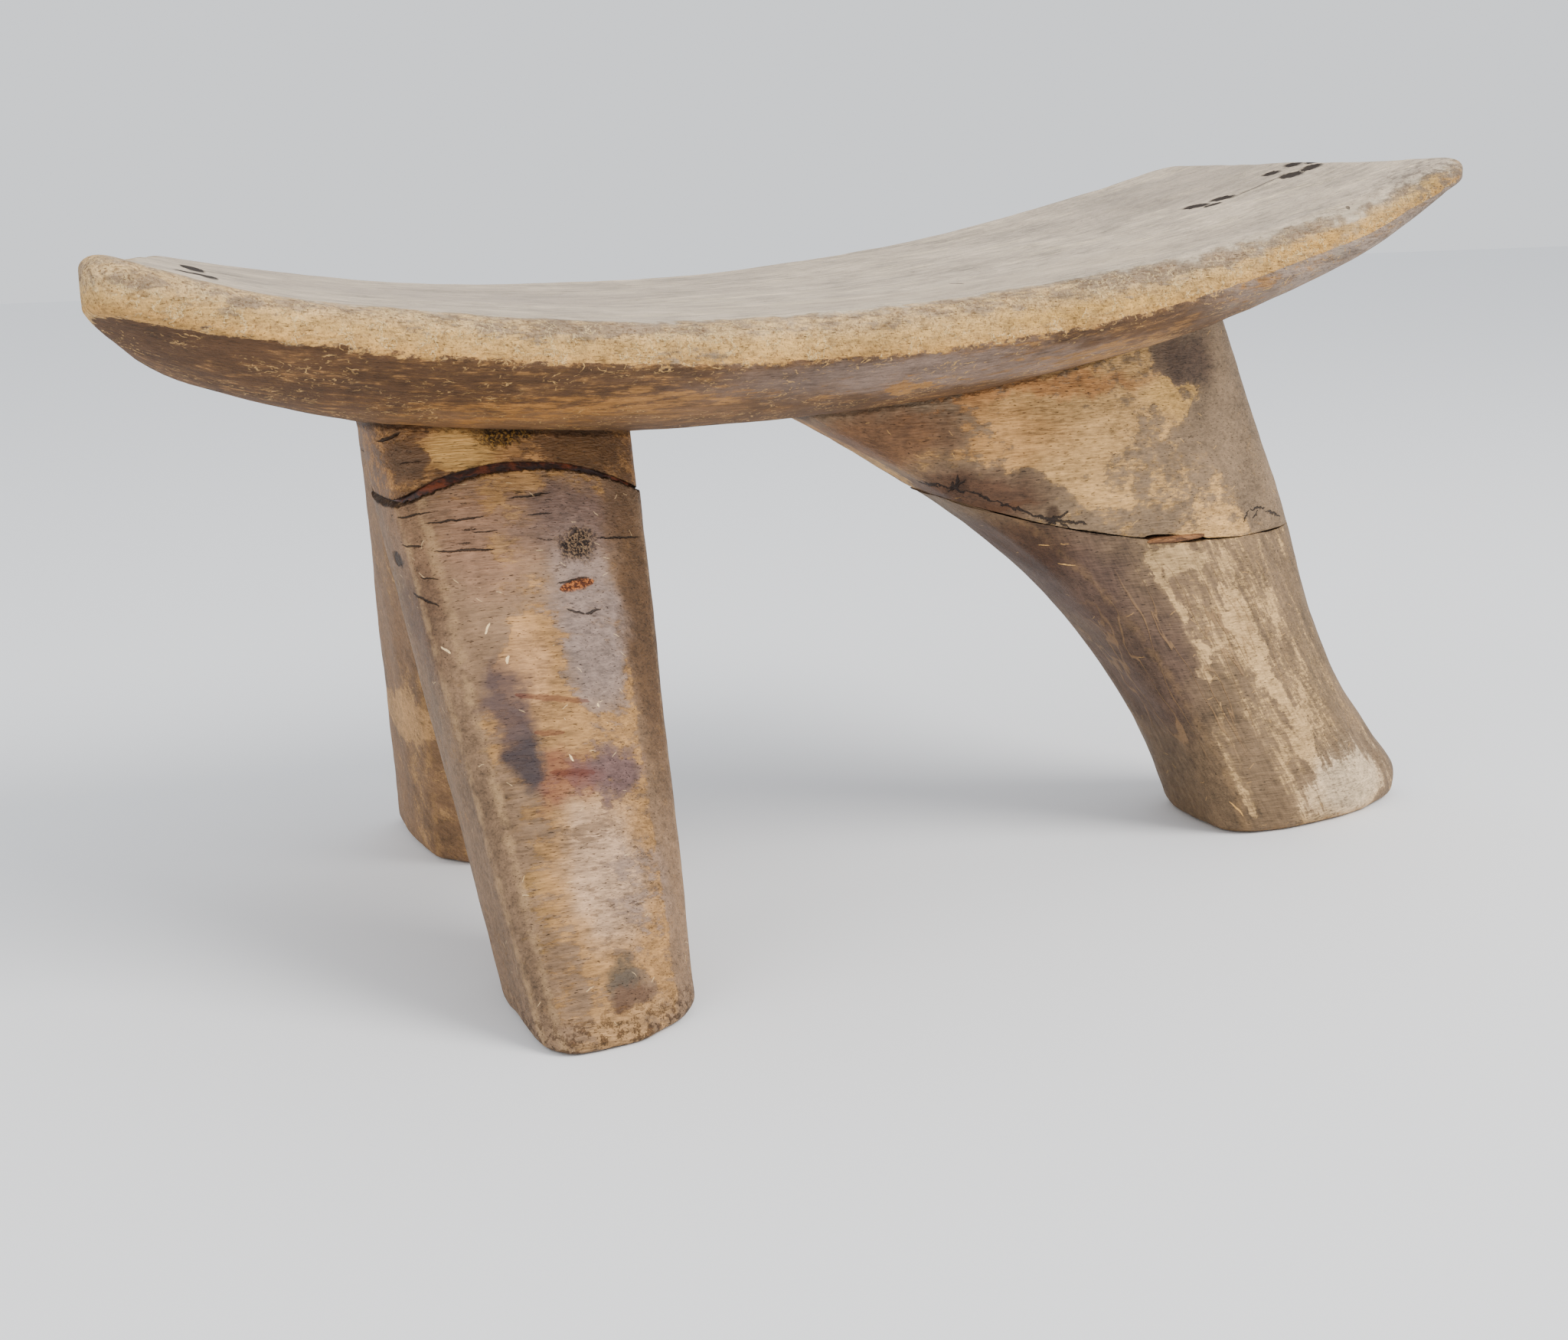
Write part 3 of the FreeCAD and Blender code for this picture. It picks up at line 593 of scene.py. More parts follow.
hairlines = slits(tree, near_place, FLAT_ON_FACE, [
    ((0.1470, -0.0150, 0.224), (0.1690, -0.0110, 0.230), 0.0006),
    ((0.0250, -0.0440, 0.202), (0.0271, -0.0500, 0.202), 0.0007),
    ((0.1428, -0.0833, 0.224), (0.1440, -0.0833, 0.224), 0.0010)])
color = paint(tree, color, burnt, 0.96, tone(26, 15, 12))
color = paint(tree, color, hairlines, 0.7, tone(46, 29, 16))
height = wire(tree, "Mix", face, None, edge_height, times(tree, face_height, 0.35))
height = calc(tree, "SUBTRACT", height, times(tree, calc(tree, "ADD", burnt, hairlines), 1.2))
height = calc(tree, "ADD", height, times(tree, calc(tree, "SUBTRACT", fuzz, nicks), 0.2))
height = calc(tree, "ADD", height, times(tree, grains, calc(tree, "SUBTRACT", 1.0, face)))
roughness = wire(tree, "Mix", face, None, 0.80, 0.55)
roughness = larger(tree, roughness, burnt)
join_finish(seat, color, roughness, height)

# Front legs.
# They fork from one root under the seat and were shaped with long knife cuts. The near one broke off
# along an arch and was put back; the far one is whole.
LEG_COLUMNS = 260
FRONT_LEG_SHARES = np.array([
    (-1.00, -0.40), (-0.97, -0.80), (-0.78, -0.98), (-0.40, -1.00), (0.10, -0.93), (0.60, -0.72),
    (0.92, -0.42), (1.00, 0.00), (0.90, 0.55), (0.50, 0.92), (0.00, 1.00), (-0.55, 0.95),
    (-0.90, 0.65), (-1.00, 0.15)])
ROOT_HEIGHT = LOW_HEIGHT - WOOD_THICKNESS / 2
FAR_LEG_SHIFT = 0.009
# A front leg's middle past the left tip and beside the stool's middle line, and half of its width and
# depth: each at the sole, and by how much it changes up to the root.
LEG_PLACE, LEG_LEAN = 0.129, 0.0065
LEG_SPREAD, LEG_DRAW = 0.0845, 0.0755
LEG_WIDTH, LEG_WIDENING = 0.0270, 0.0175
LEG_DEPTH, LEG_THINNING = 0.0364, 0.0085
# The arches of the break: height of their middle over the floor, and for each its middle past the left
# tip and its radius.
ARCH_HEIGHT = 0.0696
NEAR_ARCH, ROOT_ARCH, BEAD_ARCH = (0.1207, 0.0834), (0.1175, 0.0850), (0.1209, 0.0826)
# Rings in the flat part of an end and in its rounding.
CAP_ROWS, ARC_ROWS = 20, 8


def softened(shares, blur):
    """A polygon at equal steps, its edges worn by averaging along a bell curve of that many steps."""
    closed = np.vstack([shares, shares[:1]])
    travelled = np.concatenate([[0], np.cumsum(np.linalg.norm(np.diff(closed, axis=0), axis=1))])
    steps = np.linspace(0, travelled[-1], LEG_COLUMNS, endpoint=False)
    path = np.interp(steps, travelled, closed[:, 0]) + 1j * np.interp(steps, travelled, closed[:, 1])
    waves = np.fft.fftfreq(LEG_COLUMNS) * 2 * np.pi
    path = np.fft.ifft(np.fft.fft(path) * np.exp(-(waves * blur) ** 2 / 2))
    return np.stack([path.real, path.imag], axis=1)


def front_leg(side, height, shares):
    """Plan points of a front leg at given heights: its section changes evenly from the sole up.

    Side is -1 for the near leg and 1 for the far one.
    """
    way = height / ROOT_HEIGHT
    x = LEFT_TIP + LEG_PLACE - LEG_LEAN * way + FAR_LEG_SHIFT * max(side, 0)
    x = x + (LEG_WIDTH + LEG_WIDENING * way) * shares[:, 0]
    y = side * (LEG_SPREAD - LEG_DRAW * way) - side * (LEG_DEPTH - LEG_THINNING * way) * shares[:, 1]
    return x, y


def arch(x, crown, radius):
    """Height of an arch across the stool: the upper part of a circle about a point over the floor."""
    return ARCH_HEIGHT + np.sqrt(radius ** 2 - (x - LEFT_TIP - crown) ** 2)


def upright_piece(plan_at, lower, upper, lower_round, upper_round, rows):
    """Rings of an upright tube with closed, rounded ends.

    plan_at gives x and y at a height. lower and upper give the height of an end at x and y; the tube
    meets each by stepping half of the way to it again and again.
    """
    bottom = top = np.full(LEG_COLUMNS, 0.1)
    for _ in range(40):
        bottom = (bottom + lower(*plan_at(bottom))) / 2
        top = (top + upper(*plan_at(top))) / 2
    caps, arc = np.linspace(0.04, 0.96, CAP_ROWS), np.linspace(0, np.pi / 2, ARC_ROWS)
    sides = np.linspace(0, 1, rows)[1:-1]
    low_side, high_side = bottom + lower_round, top - upper_round
    levels = [bottom] * CAP_ROWS + [bottom + lower_round * (1 - np.cos(angle)) for angle in arc]
    levels += [low_side + (high_side - low_side) * way for way in sides]
    levels += [top - upper_round * (1 - np.cos(angle)) for angle in arc[::-1]] + [top] * CAP_ROWS
    insets = [lower_round] * CAP_ROWS + [lower_round * (1 - np.sin(angle)) for angle in arc]
    insets += [0] * len(sides)
    insets += [upper_round * (1 - np.sin(angle)) for angle in arc[::-1]] + [upper_round] * CAP_ROWS
    rings = []
    for row, (level, inset) in enumerate(zip(levels, insets)):
        x, y = plan_at(level)
        offset = np.stack([x - x.mean(), y - y.mean()], axis=1)
        offset *= 1 - inset / np.linalg.norm(offset, axis=1, keepdims=True)
        from_end = min(row, len(levels) - 1 - row)
        if from_end < CAP_ROWS:
            offset *= caps[from_end]
        px, py = x.mean() + offset[:, 0], y.mean() + offset[:, 1]
        if from_end < CAP_ROWS:
            level = lower(px, py) if row < CAP_ROWS else upper(px, py)
        rings.append(np.stack([px, py, level], axis=1))
    return np.array(rings)


def floor_level(x, y):
    """The feet stand on the floor."""
    return 0 * x


def knife_cut(rings, depth, seed):
    """Take away a little wood, in long shallow cuts that run up and down and in small ones."""
    long_cuts = 1 + wander(rings * (1, 1, 0.25), 0.020, seed)
    small_cuts = 1 + wander(rings, 0.009, seed + 1)
    return rings - outward(rings) * (depth * (0.8 * long_cuts + 0.2 * small_cuts) / 2)[..., None]


def near_leg_top(x, y):
    """Height of the near leg's broken end: its arch, with small waves."""
    return arch(x, NEAR_ARCH[0], NEAR_ARCH[1] + 0.0004 * np.sin(x * 900) * np.sin(x * 2300 + 1))


leg_shares = softened(FRONT_LEG_SHARES, 3.4)
near_leg_rings = upright_piece(
    lambda height: front_leg(-1, height, leg_shares), floor_level, near_leg_top, 0.004, 0.0007, 230)
near_leg = closed_piece("near_front_leg_wood", knife_cut(near_leg_rings, 0.0006, 11))

far_leg_rings = upright_piece(
    lambda height: front_leg(1, height, leg_shares), floor_level,
    lambda x, y: arch(x, *ROOT_ARCH), 0.004, 0.0002, 200)
far_leg = closed_piece("far_front_leg_wood", knife_cut(far_leg_rings, 0.0006, 12))


def root_plan(height):
    """Plan of the root: the outer line of both legs' sections, met by rays from a point between them.

    It is smoothed along a bell curve, and on the near side it stands back a little behind the leg.
    """
    angles = np.linspace(0, 2 * np.pi, LEG_COLUMNS, endpoint=False)
    ways = np.stack([np.cos(angles), np.sin(angles)], axis=1)
    heart = np.array([LEFT_TIP + 0.128, 0.0])
    reach = 0
    for side in (-1, 1):
        corners = np.stack([
            np.stack(front_leg(side, level, FRONT_LEG_SHARES), axis=1) for level in height])
        edges = np.roll(corners, -1, axis=1) - corners
        across = np.stack([edges[..., 1], -edges[..., 0]], axis=-1) * -side
        facing = np.einsum("ijk,ik->ij", across, ways)
        distance = np.einsum("ijk,ijk->ij", across, corners - heart)
        hits = np.where(facing > 1e-9, distance / np.where(facing > 1e-9, facing, 1), 1)
        reach = np.maximum(reach, hits.min(axis=1))
    waves = np.fft.fftfreq(LEG_COLUMNS) * 2 * np.pi
    reach = np.fft.ifft(np.fft.fft(reach) * np.exp(-(waves * 2.0) ** 2 / 2)).real
    reach -= 0.0013 / (1 + np.exp(ways[:, 1] * 12))
    return heart[0] + reach * ways[:, 0], heart[1] + reach * ways[:, 1]


def break_top(x, y):
    """Height of the root's edge over the break; on the near side it comes down to the left."""
    down = 0.0027 * np.exp(-((x - LEFT_TIP - 0.080) / 0.012) ** 2) * np.clip(-y / 0.02, 0, 1)
    return arch(x, *ROOT_ARCH) - down


root_rings = upright_piece(
    root_plan, break_top, lambda x, y: seat_underside(x, y) + 0.003, 0.0006, 0.0002, 70)
front_root = closed_piece("front_root_wood", knife_cut(root_rings, 0.0005, 13))

# The bead lies a little inside the leg's faces and fills the break from arch to arch.
bead_shares = leg_shares * (1 - 0.0023 / 0.036)
bead_rings = upright_piece(
    lambda height: front_leg(-1, height, bead_shares),
    lambda x, y: arch(x, *BEAD_ARCH) - 0.0004, lambda x, y: break_top(x, y) + 0.0004,
    0.0003, 0.0003, 24)
bead = closed_piece("bead_in_the_break", bead_rings)


def facets(piece, corners, shares, rows, films_and_shade):
    """Store how sharply a leg's outline turns at each column, and the share of film on its sides:
    partly film, partly painted shade that darkens the side facets more than the front.
    """
    steps = np.roll(shares, -1, axis=0) - shares
    turns = np.abs(np.angle((np.roll(steps, -1, axis=0) @ (1, 1j)) / (steps @ (1, 1j))))
    store(piece, "facet_edge", np.repeat(turns[None] / turns.max(), rows, axis=0))
    ends = np.cumsum(np.linalg.norm(np.roll(corners, -1, axis=0) - corners, axis=1))
    side = np.searchsorted(ends, np.linspace(0, ends[-1], LEG_COLUMNS, endpoint=False), side="right")
    film = np.array(films_and_shade)[side]
    film = (np.roll(film, -1) + film * 2 + np.roll(film, 1)) / 4
    store(piece, "facet_film_and_shade", np.repeat(film[None], rows, axis=0))


# The film shares of the sides are partly painted shade: the side facets get more film than the front
# and come out darker.
facets(near_leg, FRONT_LEG_SHARES, leg_shares, len(near_leg_rings),
       (0.30, 0.30, 0.16, 0.02, 0.06, 0.36, 0.44, 0.35, 0.2, 0.2, 0.2, 0.2, 0.3, 0.3))
facets(far_leg, FRONT_LEG_SHARES, leg_shares, len(far_leg_rings),
       (0.20, 0.10, 0.05, 0.00, 0.05, 0.10, 0.20, 0.20, 0.1, 0.1, 0.1, 0.1, 0.05, 0.15))


def store_below_seat(piece, rings):
    """Store how far each point lies below the seat's underside."""
    store(piece, "below_seat", seat_underside(rings[..., 0], rings[..., 1]) - rings[..., 2])


# How far each piece's wood lies from the break, and how far the root's lies below the seat.
store(near_leg, "from_break", arch(near_leg_rings[..., 0], *NEAR_ARCH) - near_leg_rings[..., 2])
store(front_root, "from_break", root_rings[..., 2] - break_top(root_rings[..., 0], root_rings[..., 1]))
store_below_seat(front_root, root_rings)


def worn_and_highlit_edges(tree, place, color, start, end, strength, tint):
    """Lay a paler colour over the sharp turns of a leg's outline, broken up by a noise: pale worn wood
    there, and a painted highlight along the edges.
    """
    edge = times(tree, stored(tree, "facet_edge"), noise(tree, place, 130.0, 6.0, 0.75))
    return paint(tree, color, fade(tree, edge, start, end), strength, tint)


def break_shade(tree, place, reach, start):
    """A ragged dark line along the break: its dark glue line, with painted shade of the gap."""
    fray = noise(tree, place, 520.0, 5.0, 0.7)
    fray = added(tree, fray, reach, stored(tree, "from_break"))
    return fade(tree, fray, start, 0.0010)


def seat_crease_shade(tree, place, strength):
    """A ragged dark line where a root meets the seat: painted shade in the crease."""
    crease = noise(tree, place, 380.0, 5.0, 0.7)
    crease = added(tree, crease, 0.0040, stored(tree, "below_seat"))
    return times(tree, fade(tree, crease, 0.0036, 0.0016), strength)


# Finish of the near leg: short grain across it, dark film at the upper left, bare pale wood between,
# a burnt-in stain, a knot, torn spots and fine checks along the grain.
FLAT_ON_SIDE = (1.0, 0.12, 1.0)
tree, place = new_material(near_leg, "near leg wood")
near_place = wire(tree, ragged, place, 0.0004, 330.0)
wide_place = wire(tree, ragged, place, 0.0045, 85.0)
# The film share per facet is partly painted shade on the side facets.
facet_film_and_shade = stored(tree, "facet_film_and_shade")
cover = amount_of(tree, wide_place, calc(tree, "ADD", facet_film_and_shade, 0.38), [
    ((-0.151, -0.050, 0.136), (0.010, 0.03, 0.020), 0.20),
    ((-0.128, -0.052, 0.126), (0.030, 0.04, 0.030), 0.20),
    ((-0.099, -0.063, 0.112), (0.018, 0.03, 0.038), 0.28),
    ((-0.100, -0.053, 0.137), (0.025, 0.04, 0.017), 0.38),
    ((-0.139, -0.066, 0.108), (0.014, 0.03, 0.024), 0.22),
    ((-0.116, -0.056, 0.136), (0.010, 0.03, 0.010), -0.20),
    ((-0.121, -0.073, 0.101), (0.010, 0.03, 0.018), -0.38),
    ((-0.113, -0.078, 0.088), (0.014, 0.03, 0.010), -0.25),
    ((-0.103, -0.072, 0.094), (0.012, 0.03, 0.016), 0.25),
    ((-0.101, -0.083, 0.070), (0.014, 0.03, 0.010), 0.35),
    ((-0.106, -0.112, 0.014), (0.014, 0.03, 0.006), 0.25),
    ((-0.138, -0.093, 0.055), (0.012, 0.03, 0.030), 0.18),
    ((-0.100, -0.098, 0.040), (0.012, 0.03, 0.020), 0.06),
    ((-0.125, -0.098, 0.045), (0.012, 0.03, 0.020), -0.12)])
bare = lay(tree, wide_place, tone(158, 118, 72), [
    ((-0.135, -0.054, 0.140), (0.013, 0.03, 0.014), (164, 120, 76), 0.90),
    ((-0.114, -0.056, 0.134), (0.013, 0.03, 0.020), (160, 123, 84), 0.85),
    ((-0.122, -0.074, 0.100), (0.010, 0.03, 0.020), (170, 128, 86), 0.90),
    ((-0.108, -0.100, 0.046), (0.018, 0.04, 0.030), (180, 148, 120), 0.85),
    ((-0.134, -0.104, 0.040), (0.010, 0.04, 0.050), (134, 102, 60), 0.85),
    ((-0.112, -0.105, 0.002), (0.060, 0.09, 0.012), (158, 122, 82), 0.90)])
film = lay(tree, wide_place, tone(122, 96, 72), [
    ((-0.151, -0.050, 0.136), (0.012, 0.03, 0.022), (126, 96, 70), 0.90),
    ((-0.148, -0.058, 0.112), (0.008, 0.03, 0.024), (100, 74, 54), 0.85),
    ((-0.128, -0.052, 0.134), (0.020, 0.03, 0.024), (138, 104, 80), 0.85),
    ((-0.100, -0.053, 0.138), (0.027, 0.04, 0.016), (102, 80, 70), 0.90),
    ((-0.100, -0.063, 0.108), (0.018, 0.03, 0.040), (136, 116, 106), 0.95),
    ((-0.101, -0.084, 0.070), (0.016, 0.03, 0.012), (98, 74, 72), 0.90),
    ((-0.100, -0.098, 0.040), (0.014, 0.03, 0.024), (140, 116, 100), 0.90),
    ((-0.082, -0.050, 0.100), (0.012, 0.05, 0.080), (86, 62, 40), 0.95)])
color, height, left = worn_wood(
    tree, place, cover, bare, film, 190.0, stretched(tree, place, (0.40, 1.0, 1.0)))
color = lay(tree, wide_place, color, [
    ((-0.116, -0.086, 0.071), (0.013, 0.03, 0.010), (118, 62, 50), 0.55),
    ((-0.1285, -0.080, 0.092), (0.0090, 0.03, 0.018), (78, 62, 62), 0.82),
    ((-0.1265, -0.0857, 0.0765), (0.0075, 0.03, 0.0110), (54, 46, 50), 0.90),
    ((-0.1084, -0.1111, 0.0178), (0.009, 0.03, 0.0045), (67, 63, 55), 0.75),
    ((-0.1057, -0.1129, 0.0130), (0.011, 0.03, 0.0040), (71, 44, 31), 0.60)])
reddish_lines = slits(tree, near_place, FLAT_ON_SIDE, [
    ((-0.1270, -0.077, 0.0935), (-0.1050, -0.076, 0.0890), 0.0010),
    ((-0.1230, -0.082, 0.0831), (-0.1140, -0.081, 0.0820), 0.0009),
    ((-0.1206, -0.087, 0.0724), (-0.1066, -0.086, 0.0704), 0.0011)])
color = paint(tree, color, reddish_lines, 0.6, tone(86, 36, 23))
# Pale facet edges: worn wood, with a painted highlight.
color = worn_and_highlit_edges(tree, place, color, 0.34, 0.62, 0.50, tone(188, 152, 108))
crust_place = wire(tree, ragged, place, 0.0025, 300.0)
crust_spot = wire(tree, stain, crust_place, (-0.1005, -0.0546, 0.1307), (0.0085, 0.02, 0.0068))
crumbs = noise(tree, place, 1300.0, 3.0, 0.6)
crust_color = blend(tree, fade(tree, crumbs, 0.47, 0.58), tone(34, 24, 20), tone(140, 112, 84))
color = paint(tree, color, crust_spot, 0.95, crust_color)
torn = slits(tree, near_place, FLAT_ON_SIDE, [
    ((-0.1085, -0.0605, 0.1197), (-0.0970, -0.0595, 0.1203), 0.0017)])
torn_color = blend(tree, fade(tree, crumbs, 0.45, 0.58), tone(86, 40, 16), tone(196, 116, 58))
color = paint(tree, color, torn, 0.95, torn_color)
checks = slits(tree, near_place, FLAT_ON_SIDE, [
    ((-0.1460, -0.0533, 0.1400), (-0.1270, -0.0541, 0.1412), 0.00030),
    ((-0.1440, -0.0574, 0.1326), (-0.1260, -0.0581, 0.1322), 0.00033),
    ((-0.1520, -0.0500, 0.1215), (-0.1440, -0.0621, 0.1178), 0.00033),
    ((-0.0940, -0.0517, 0.1319), (-0.0775, -0.0442, 0.1294), 0.00030),
    ((-0.1075, -0.0646, 0.1142), (-0.1018, -0.0639, 0.1118), 0.00033),
    ((-0.1018, -0.0639, 0.1118), (-0.0960, -0.0619, 0.1126), 0.00033),
    ((-0.1520, -0.0470, 0.1412), (-0.1440, -0.0510, 0.1430), 0.00028),
    ((-0.1520, -0.0490, 0.1335), (-0.1455, -0.0530, 0.1340), 0.00028),
    ((-0.1515, -0.0430, 0.1310), (-0.1508, -0.0430, 0.1262), 0.00070),
    ((-0.1090, -0.0605, 0.1212), (-0.0965, -0.0595, 0.1216), 0.00033),
    ((-0.1200, -0.0500, 0.1452), (-0.1040, -0.0500, 0.1458), 0.00028),
    ((-0.1150, -0.0530, 0.1405), (-0.1050, -0.0530, 0.1400), 0.00025),
    ((-0.1480, -0.0560, 0.1255), (-0.1420, -0.0580, 0.1250), 0.00025),
    ((-0.1330, -0.0560, 0.1372), (-0.1230, -0.0560, 0.1368), 0.00022)])
grain_checks = noise(tree, stretched(tree, near_place, (90.0, 420.0, 620.0)), 1.0, 4.0, 0.6)
grain_checks = fade(tree, grain_checks, 0.66, 0.72)
upper_zone = wire(tree, stain, wide_place, (-0.130, -0.050, 0.138), (0.040, 0.05, 0.030))
lower_zone = wire(tree, stain, wide_place, (-0.105, -0.095, 0.055), (0.030, 0.05, 0.050))
zones = calc(tree, "ADD", times(tree, upper_zone, 0.9), times(tree, lower_zone, 0.5))
checks = larger(tree, checks, times(tree, grain_checks, zones))
color = paint(tree, color, checks, 0.85, tone(26, 15, 7))
# Along the break: dark glue line with painted shade of the gap.
break_dark = break_shade(tree, place, 0.0034, 0.0025)
color = paint(tree, color, break_dark, 0.85, tone(34, 20, 12))
nicks = slits(tree, near_place, FLAT_ON_SIDE, [
    ((-0.1328, -0.068, 0.1100), (-0.1308, -0.068, 0.1128), 0.0004),
    ((-0.1452, -0.067, 0.1070), (-0.1428, -0.067, 0.1052), 0.0004),
    ((-0.1280, -0.072, 0.1018), (-0.1268, -0.072, 0.1040), 0.0005),
    ((-0.1136, -0.084, 0.0762), (-0.1128, -0.084, 0.0744), 0.0004),
    ((-0.1025, -0.0756, 0.0882), (-0.1020, -0.0756, 0.0870), 0.0004)])
small_nicks = wire(tree, scratches, near_place, 150.0, 0.0011, 0.00014, 0.20)
nicks = larger(tree, nicks, times(tree, small_nicks, 0.45))
color = blend(tree, nicks, color, tone(244, 209, 156))
sole_place = wire(tree, ragged, place, 0.003, 160.0)
frayed = wire(tree, stain, sole_place, (-0.112, -0.100, -0.004), (0.075, 0.10, 0.018))
crust = fade(tree, noise(tree, place, 420.0, 6.0, 0.7), 0.50, 0.62)
color = paint(tree, color, times(tree, frayed, crust), 0.55, tone(71, 36, 12))
height = added(tree, larger(tree, checks, break_dark), -1.6, height)
height = added(tree, larger(tree, crust_spot, torn), added(tree, crumbs, 3.0, -1.8), height)
height = added(tree, times(tree, frayed, crust), 1.0, height)
roughness = wire(tree, "Mix", left, None, 0.68, 0.58)
join_finish(near_leg, color, roughness, height)

# Finish of the far leg: warm brown film with a few bare places.
tree, place = new_material(far_leg, "far leg wood")
wide_place = wire(tree, ragged, place, 0.0045, 85.0)
# The film share per facet is partly painted shade on the side facets.
facet_film_and_shade = stored(tree, "facet_film_and_shade")
cover = amount_of(tree, wide_place, calc(tree, "ADD", facet_film_and_shade, 0.50), [
    ((-0.1308, 0.055, 0.055), (0.012, 0.05, 0.012), -0.50),
    ((-0.130, 0.050, 0.090), (0.020, 0.06, 0.020), 0.20),
    ((-0.100, 0.110, 0.050), (0.030, 0.05, 0.035), -0.20),
    ((-0.080, 0.060, 0.110), (0.030, 0.06, 0.030), 0.20)])
color, height, left = worn_wood(
    tree, place, cover, tone(172, 132, 86), tone(120, 90, 62), 150.0,
    stretched(tree, place, (0.45, 1.0, 0.8)))
# Pale facet edges: worn wood, with a painted highlight.
color = worn_and_highlit_edges(tree, place, color, 0.34, 0.62, 0.50, tone(184, 140, 84))
nicks = wire(tree, scratches, wide_place, 120.0, 0.0016, 0.00018, 0.25)
color = paint(tree, color, nicks, 0.5, tone(221, 173, 103))
roughness = wire(tree, "Mix", left, None, 0.68, 0.60)
join_finish(far_leg, color, roughness, height)

# Finish of the root: brown and ochre, with a pale bare patch and a crumbly tuft under the seat.
tree, place = new_material(front_root, "root wood")
near_place = wire(tree, ragged, place, 0.0004, 330.0)
wide_place = wire(tree, ragged, place, 0.0040, 95.0)
cover = amount_of(tree, wide_place, 0.52, [
    ((-0.1300, -0.044, 0.159), (0.018, 0.03, 0.008), -0.60),
    ((-0.1467, -0.043, 0.157), (0.007, 0.03, 0.007), 0.35),
    ((-0.0940, -0.040, 0.156), (0.022, 0.03, 0.010), 0.15)])
bare = lay(tree, wide_place, tone(162, 118, 72), [
    ((-0.1318, -0.044, 0.1590), (0.017, 0.03, 0.009), (196, 152, 88), 0.90)])
film = lay(tree, wide_place, tone(102, 74, 50), [
    ((-0.1467, -0.043, 0.157), (0.008, 0.03, 0.008), (100, 76, 56), 0.85),
    ((-0.0940, -0.040, 0.154), (0.022, 0.03, 0.012), (96, 68, 42), 0.85)])
color, height, left = worn_wood(
    tree, place, cover, bare, film, 190.0, stretched(tree, place, (0.45, 1.0, 1.0)))
tuft_place = wire(tree, ragged, place, 0.0030, 240.0)
tuft = wire(tree, stain, tuft_place, (-0.1175, -0.0427, 0.1625), (0.0125, 0.03, 0.0050))
crumbs = noise(tree, place, 1100.0, 3.0, 0.6)
tuft_color = blend(tree, fade(tree, crumbs, 0.46, 0.58), tone(46, 29, 10), tone(151, 110, 44))
color = paint(tree, color, tuft, 0.9, tuft_color)
checks = slits(tree, near_place, FLAT_ON_SIDE, [
    ((-0.1540, -0.0359, 0.1615), (-0.1475, -0.0415, 0.1650), 0.0005),
    ((-0.1500, -0.0400, 0.1560), (-0.1420, -0.0430, 0.1572), 0.0003),
    ((-0.1490, -0.0400, 0.1525), (-0.1430, -0.0430, 0.1530), 0.0003)])
# Painted shade in the crease under the seat, and along the break a dark glue line with painted shade of
# its gap.
break_and_crease_shade = larger(tree, break_shade(tree, place, 0.0030, 0.0023), seat_crease_shade(tree, place, 0.7))
checks = larger(tree, checks, break_and_crease_shade)
color = paint(tree, color, checks, 0.85, tone(32, 19, 10))
height = added(tree, checks, -1.6, height)
height = added(tree, tuft, added(tree, crumbs, 3.0, -1.4), height)
roughness = wire(tree, "Mix", left, None, 0.62, 0.50)
join_finish(front_root, color, roughness, height)

# The bead: dark red-brown resin, glossy, in patches of brown-black and of paler red-brown.
tree, place = new_material(bead, "dark resin")
patches = noise(tree, stretched(tree, place, (0.5, 1.0, 1.0)), 330.0, 6.0, 0.6)
color = blend(tree, fade(tree, patches, 0.46, 0.66), tone(38, 17, 9), tone(112, 52, 22))
roughness = added(tree, patches, 0.5, 0.10)
join_finish(bead, color, roughness, patches, depth=0.0010, coat=0.35)

for piece, node, finish in (
        (near_leg, "near_front_leg", "wood"), (far_leg, "far_front_leg", "wood"),
        (front_root, "front_leg_root", "wood"), (bead, "break_bead", "resin")):
    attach(piece, "root")
    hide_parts(node)

# Rear leg.
# Grown out of the same block, broad under the seat, slender at the shin and flared at the toe. A
# check crosses it, with star-shaped knots on its line and a torn sliver where it gapes.
REAR_LEG_SHARES = np.array([
    (-1.00, -0.30), (-0.97, -0.74), (-0.80, -0.97), (-0.40, -1.00), (0.10, -0.90), (0.55, -0.66),
    (0.88, -0.34), (1.00, -0.08), (1.00, 0.10), (0.86, 0.42), (0.50, 0.76), (0.00, 0.97),
    (-0.50, 1.00), (-0.88, 0.76), (-1.00, 0.30)])
REAR_LEG_HEIGHT = 0.2147
TOE_REACH = 0.042
REAR_LEG_SHIFT, REAR_HALF_DEPTH = -0.004, 0.030
# The check: the circle along the stool whose lowest part it follows, and where it gapes, each past the
# left tip.
CHECK_MIDDLE, CHECK_LEVEL, CHECK_RADIUS = 0.400, 0.5082, 0.400
GAPE_MIDDLE, GAPE_REACH = 0.355, 0.0135
# Height in shares of the leg's height, inner and outer edge in shares of the seat's length, and
# depth in shares of its thickest.
REAR_SECTIONS = np.array([
    (0.000, 0.786, 0.996, 0.980), (0.044, 0.781, 1.003, 1.000), (0.115, 0.772, 0.984, 1.000),
    (0.213, 0.753, 0.956, 0.970), (0.327, 0.722, 0.938, 0.950), (0.447, 0.677, 0.928, 0.960),
    (0.562, 0.617, 0.919, 0.980), (0.681, 0.534, 0.906, 1.000), (0.850, 0.402, 0.888, 1.000),
    (1.000, 0.340, 0.873, 1.000)])


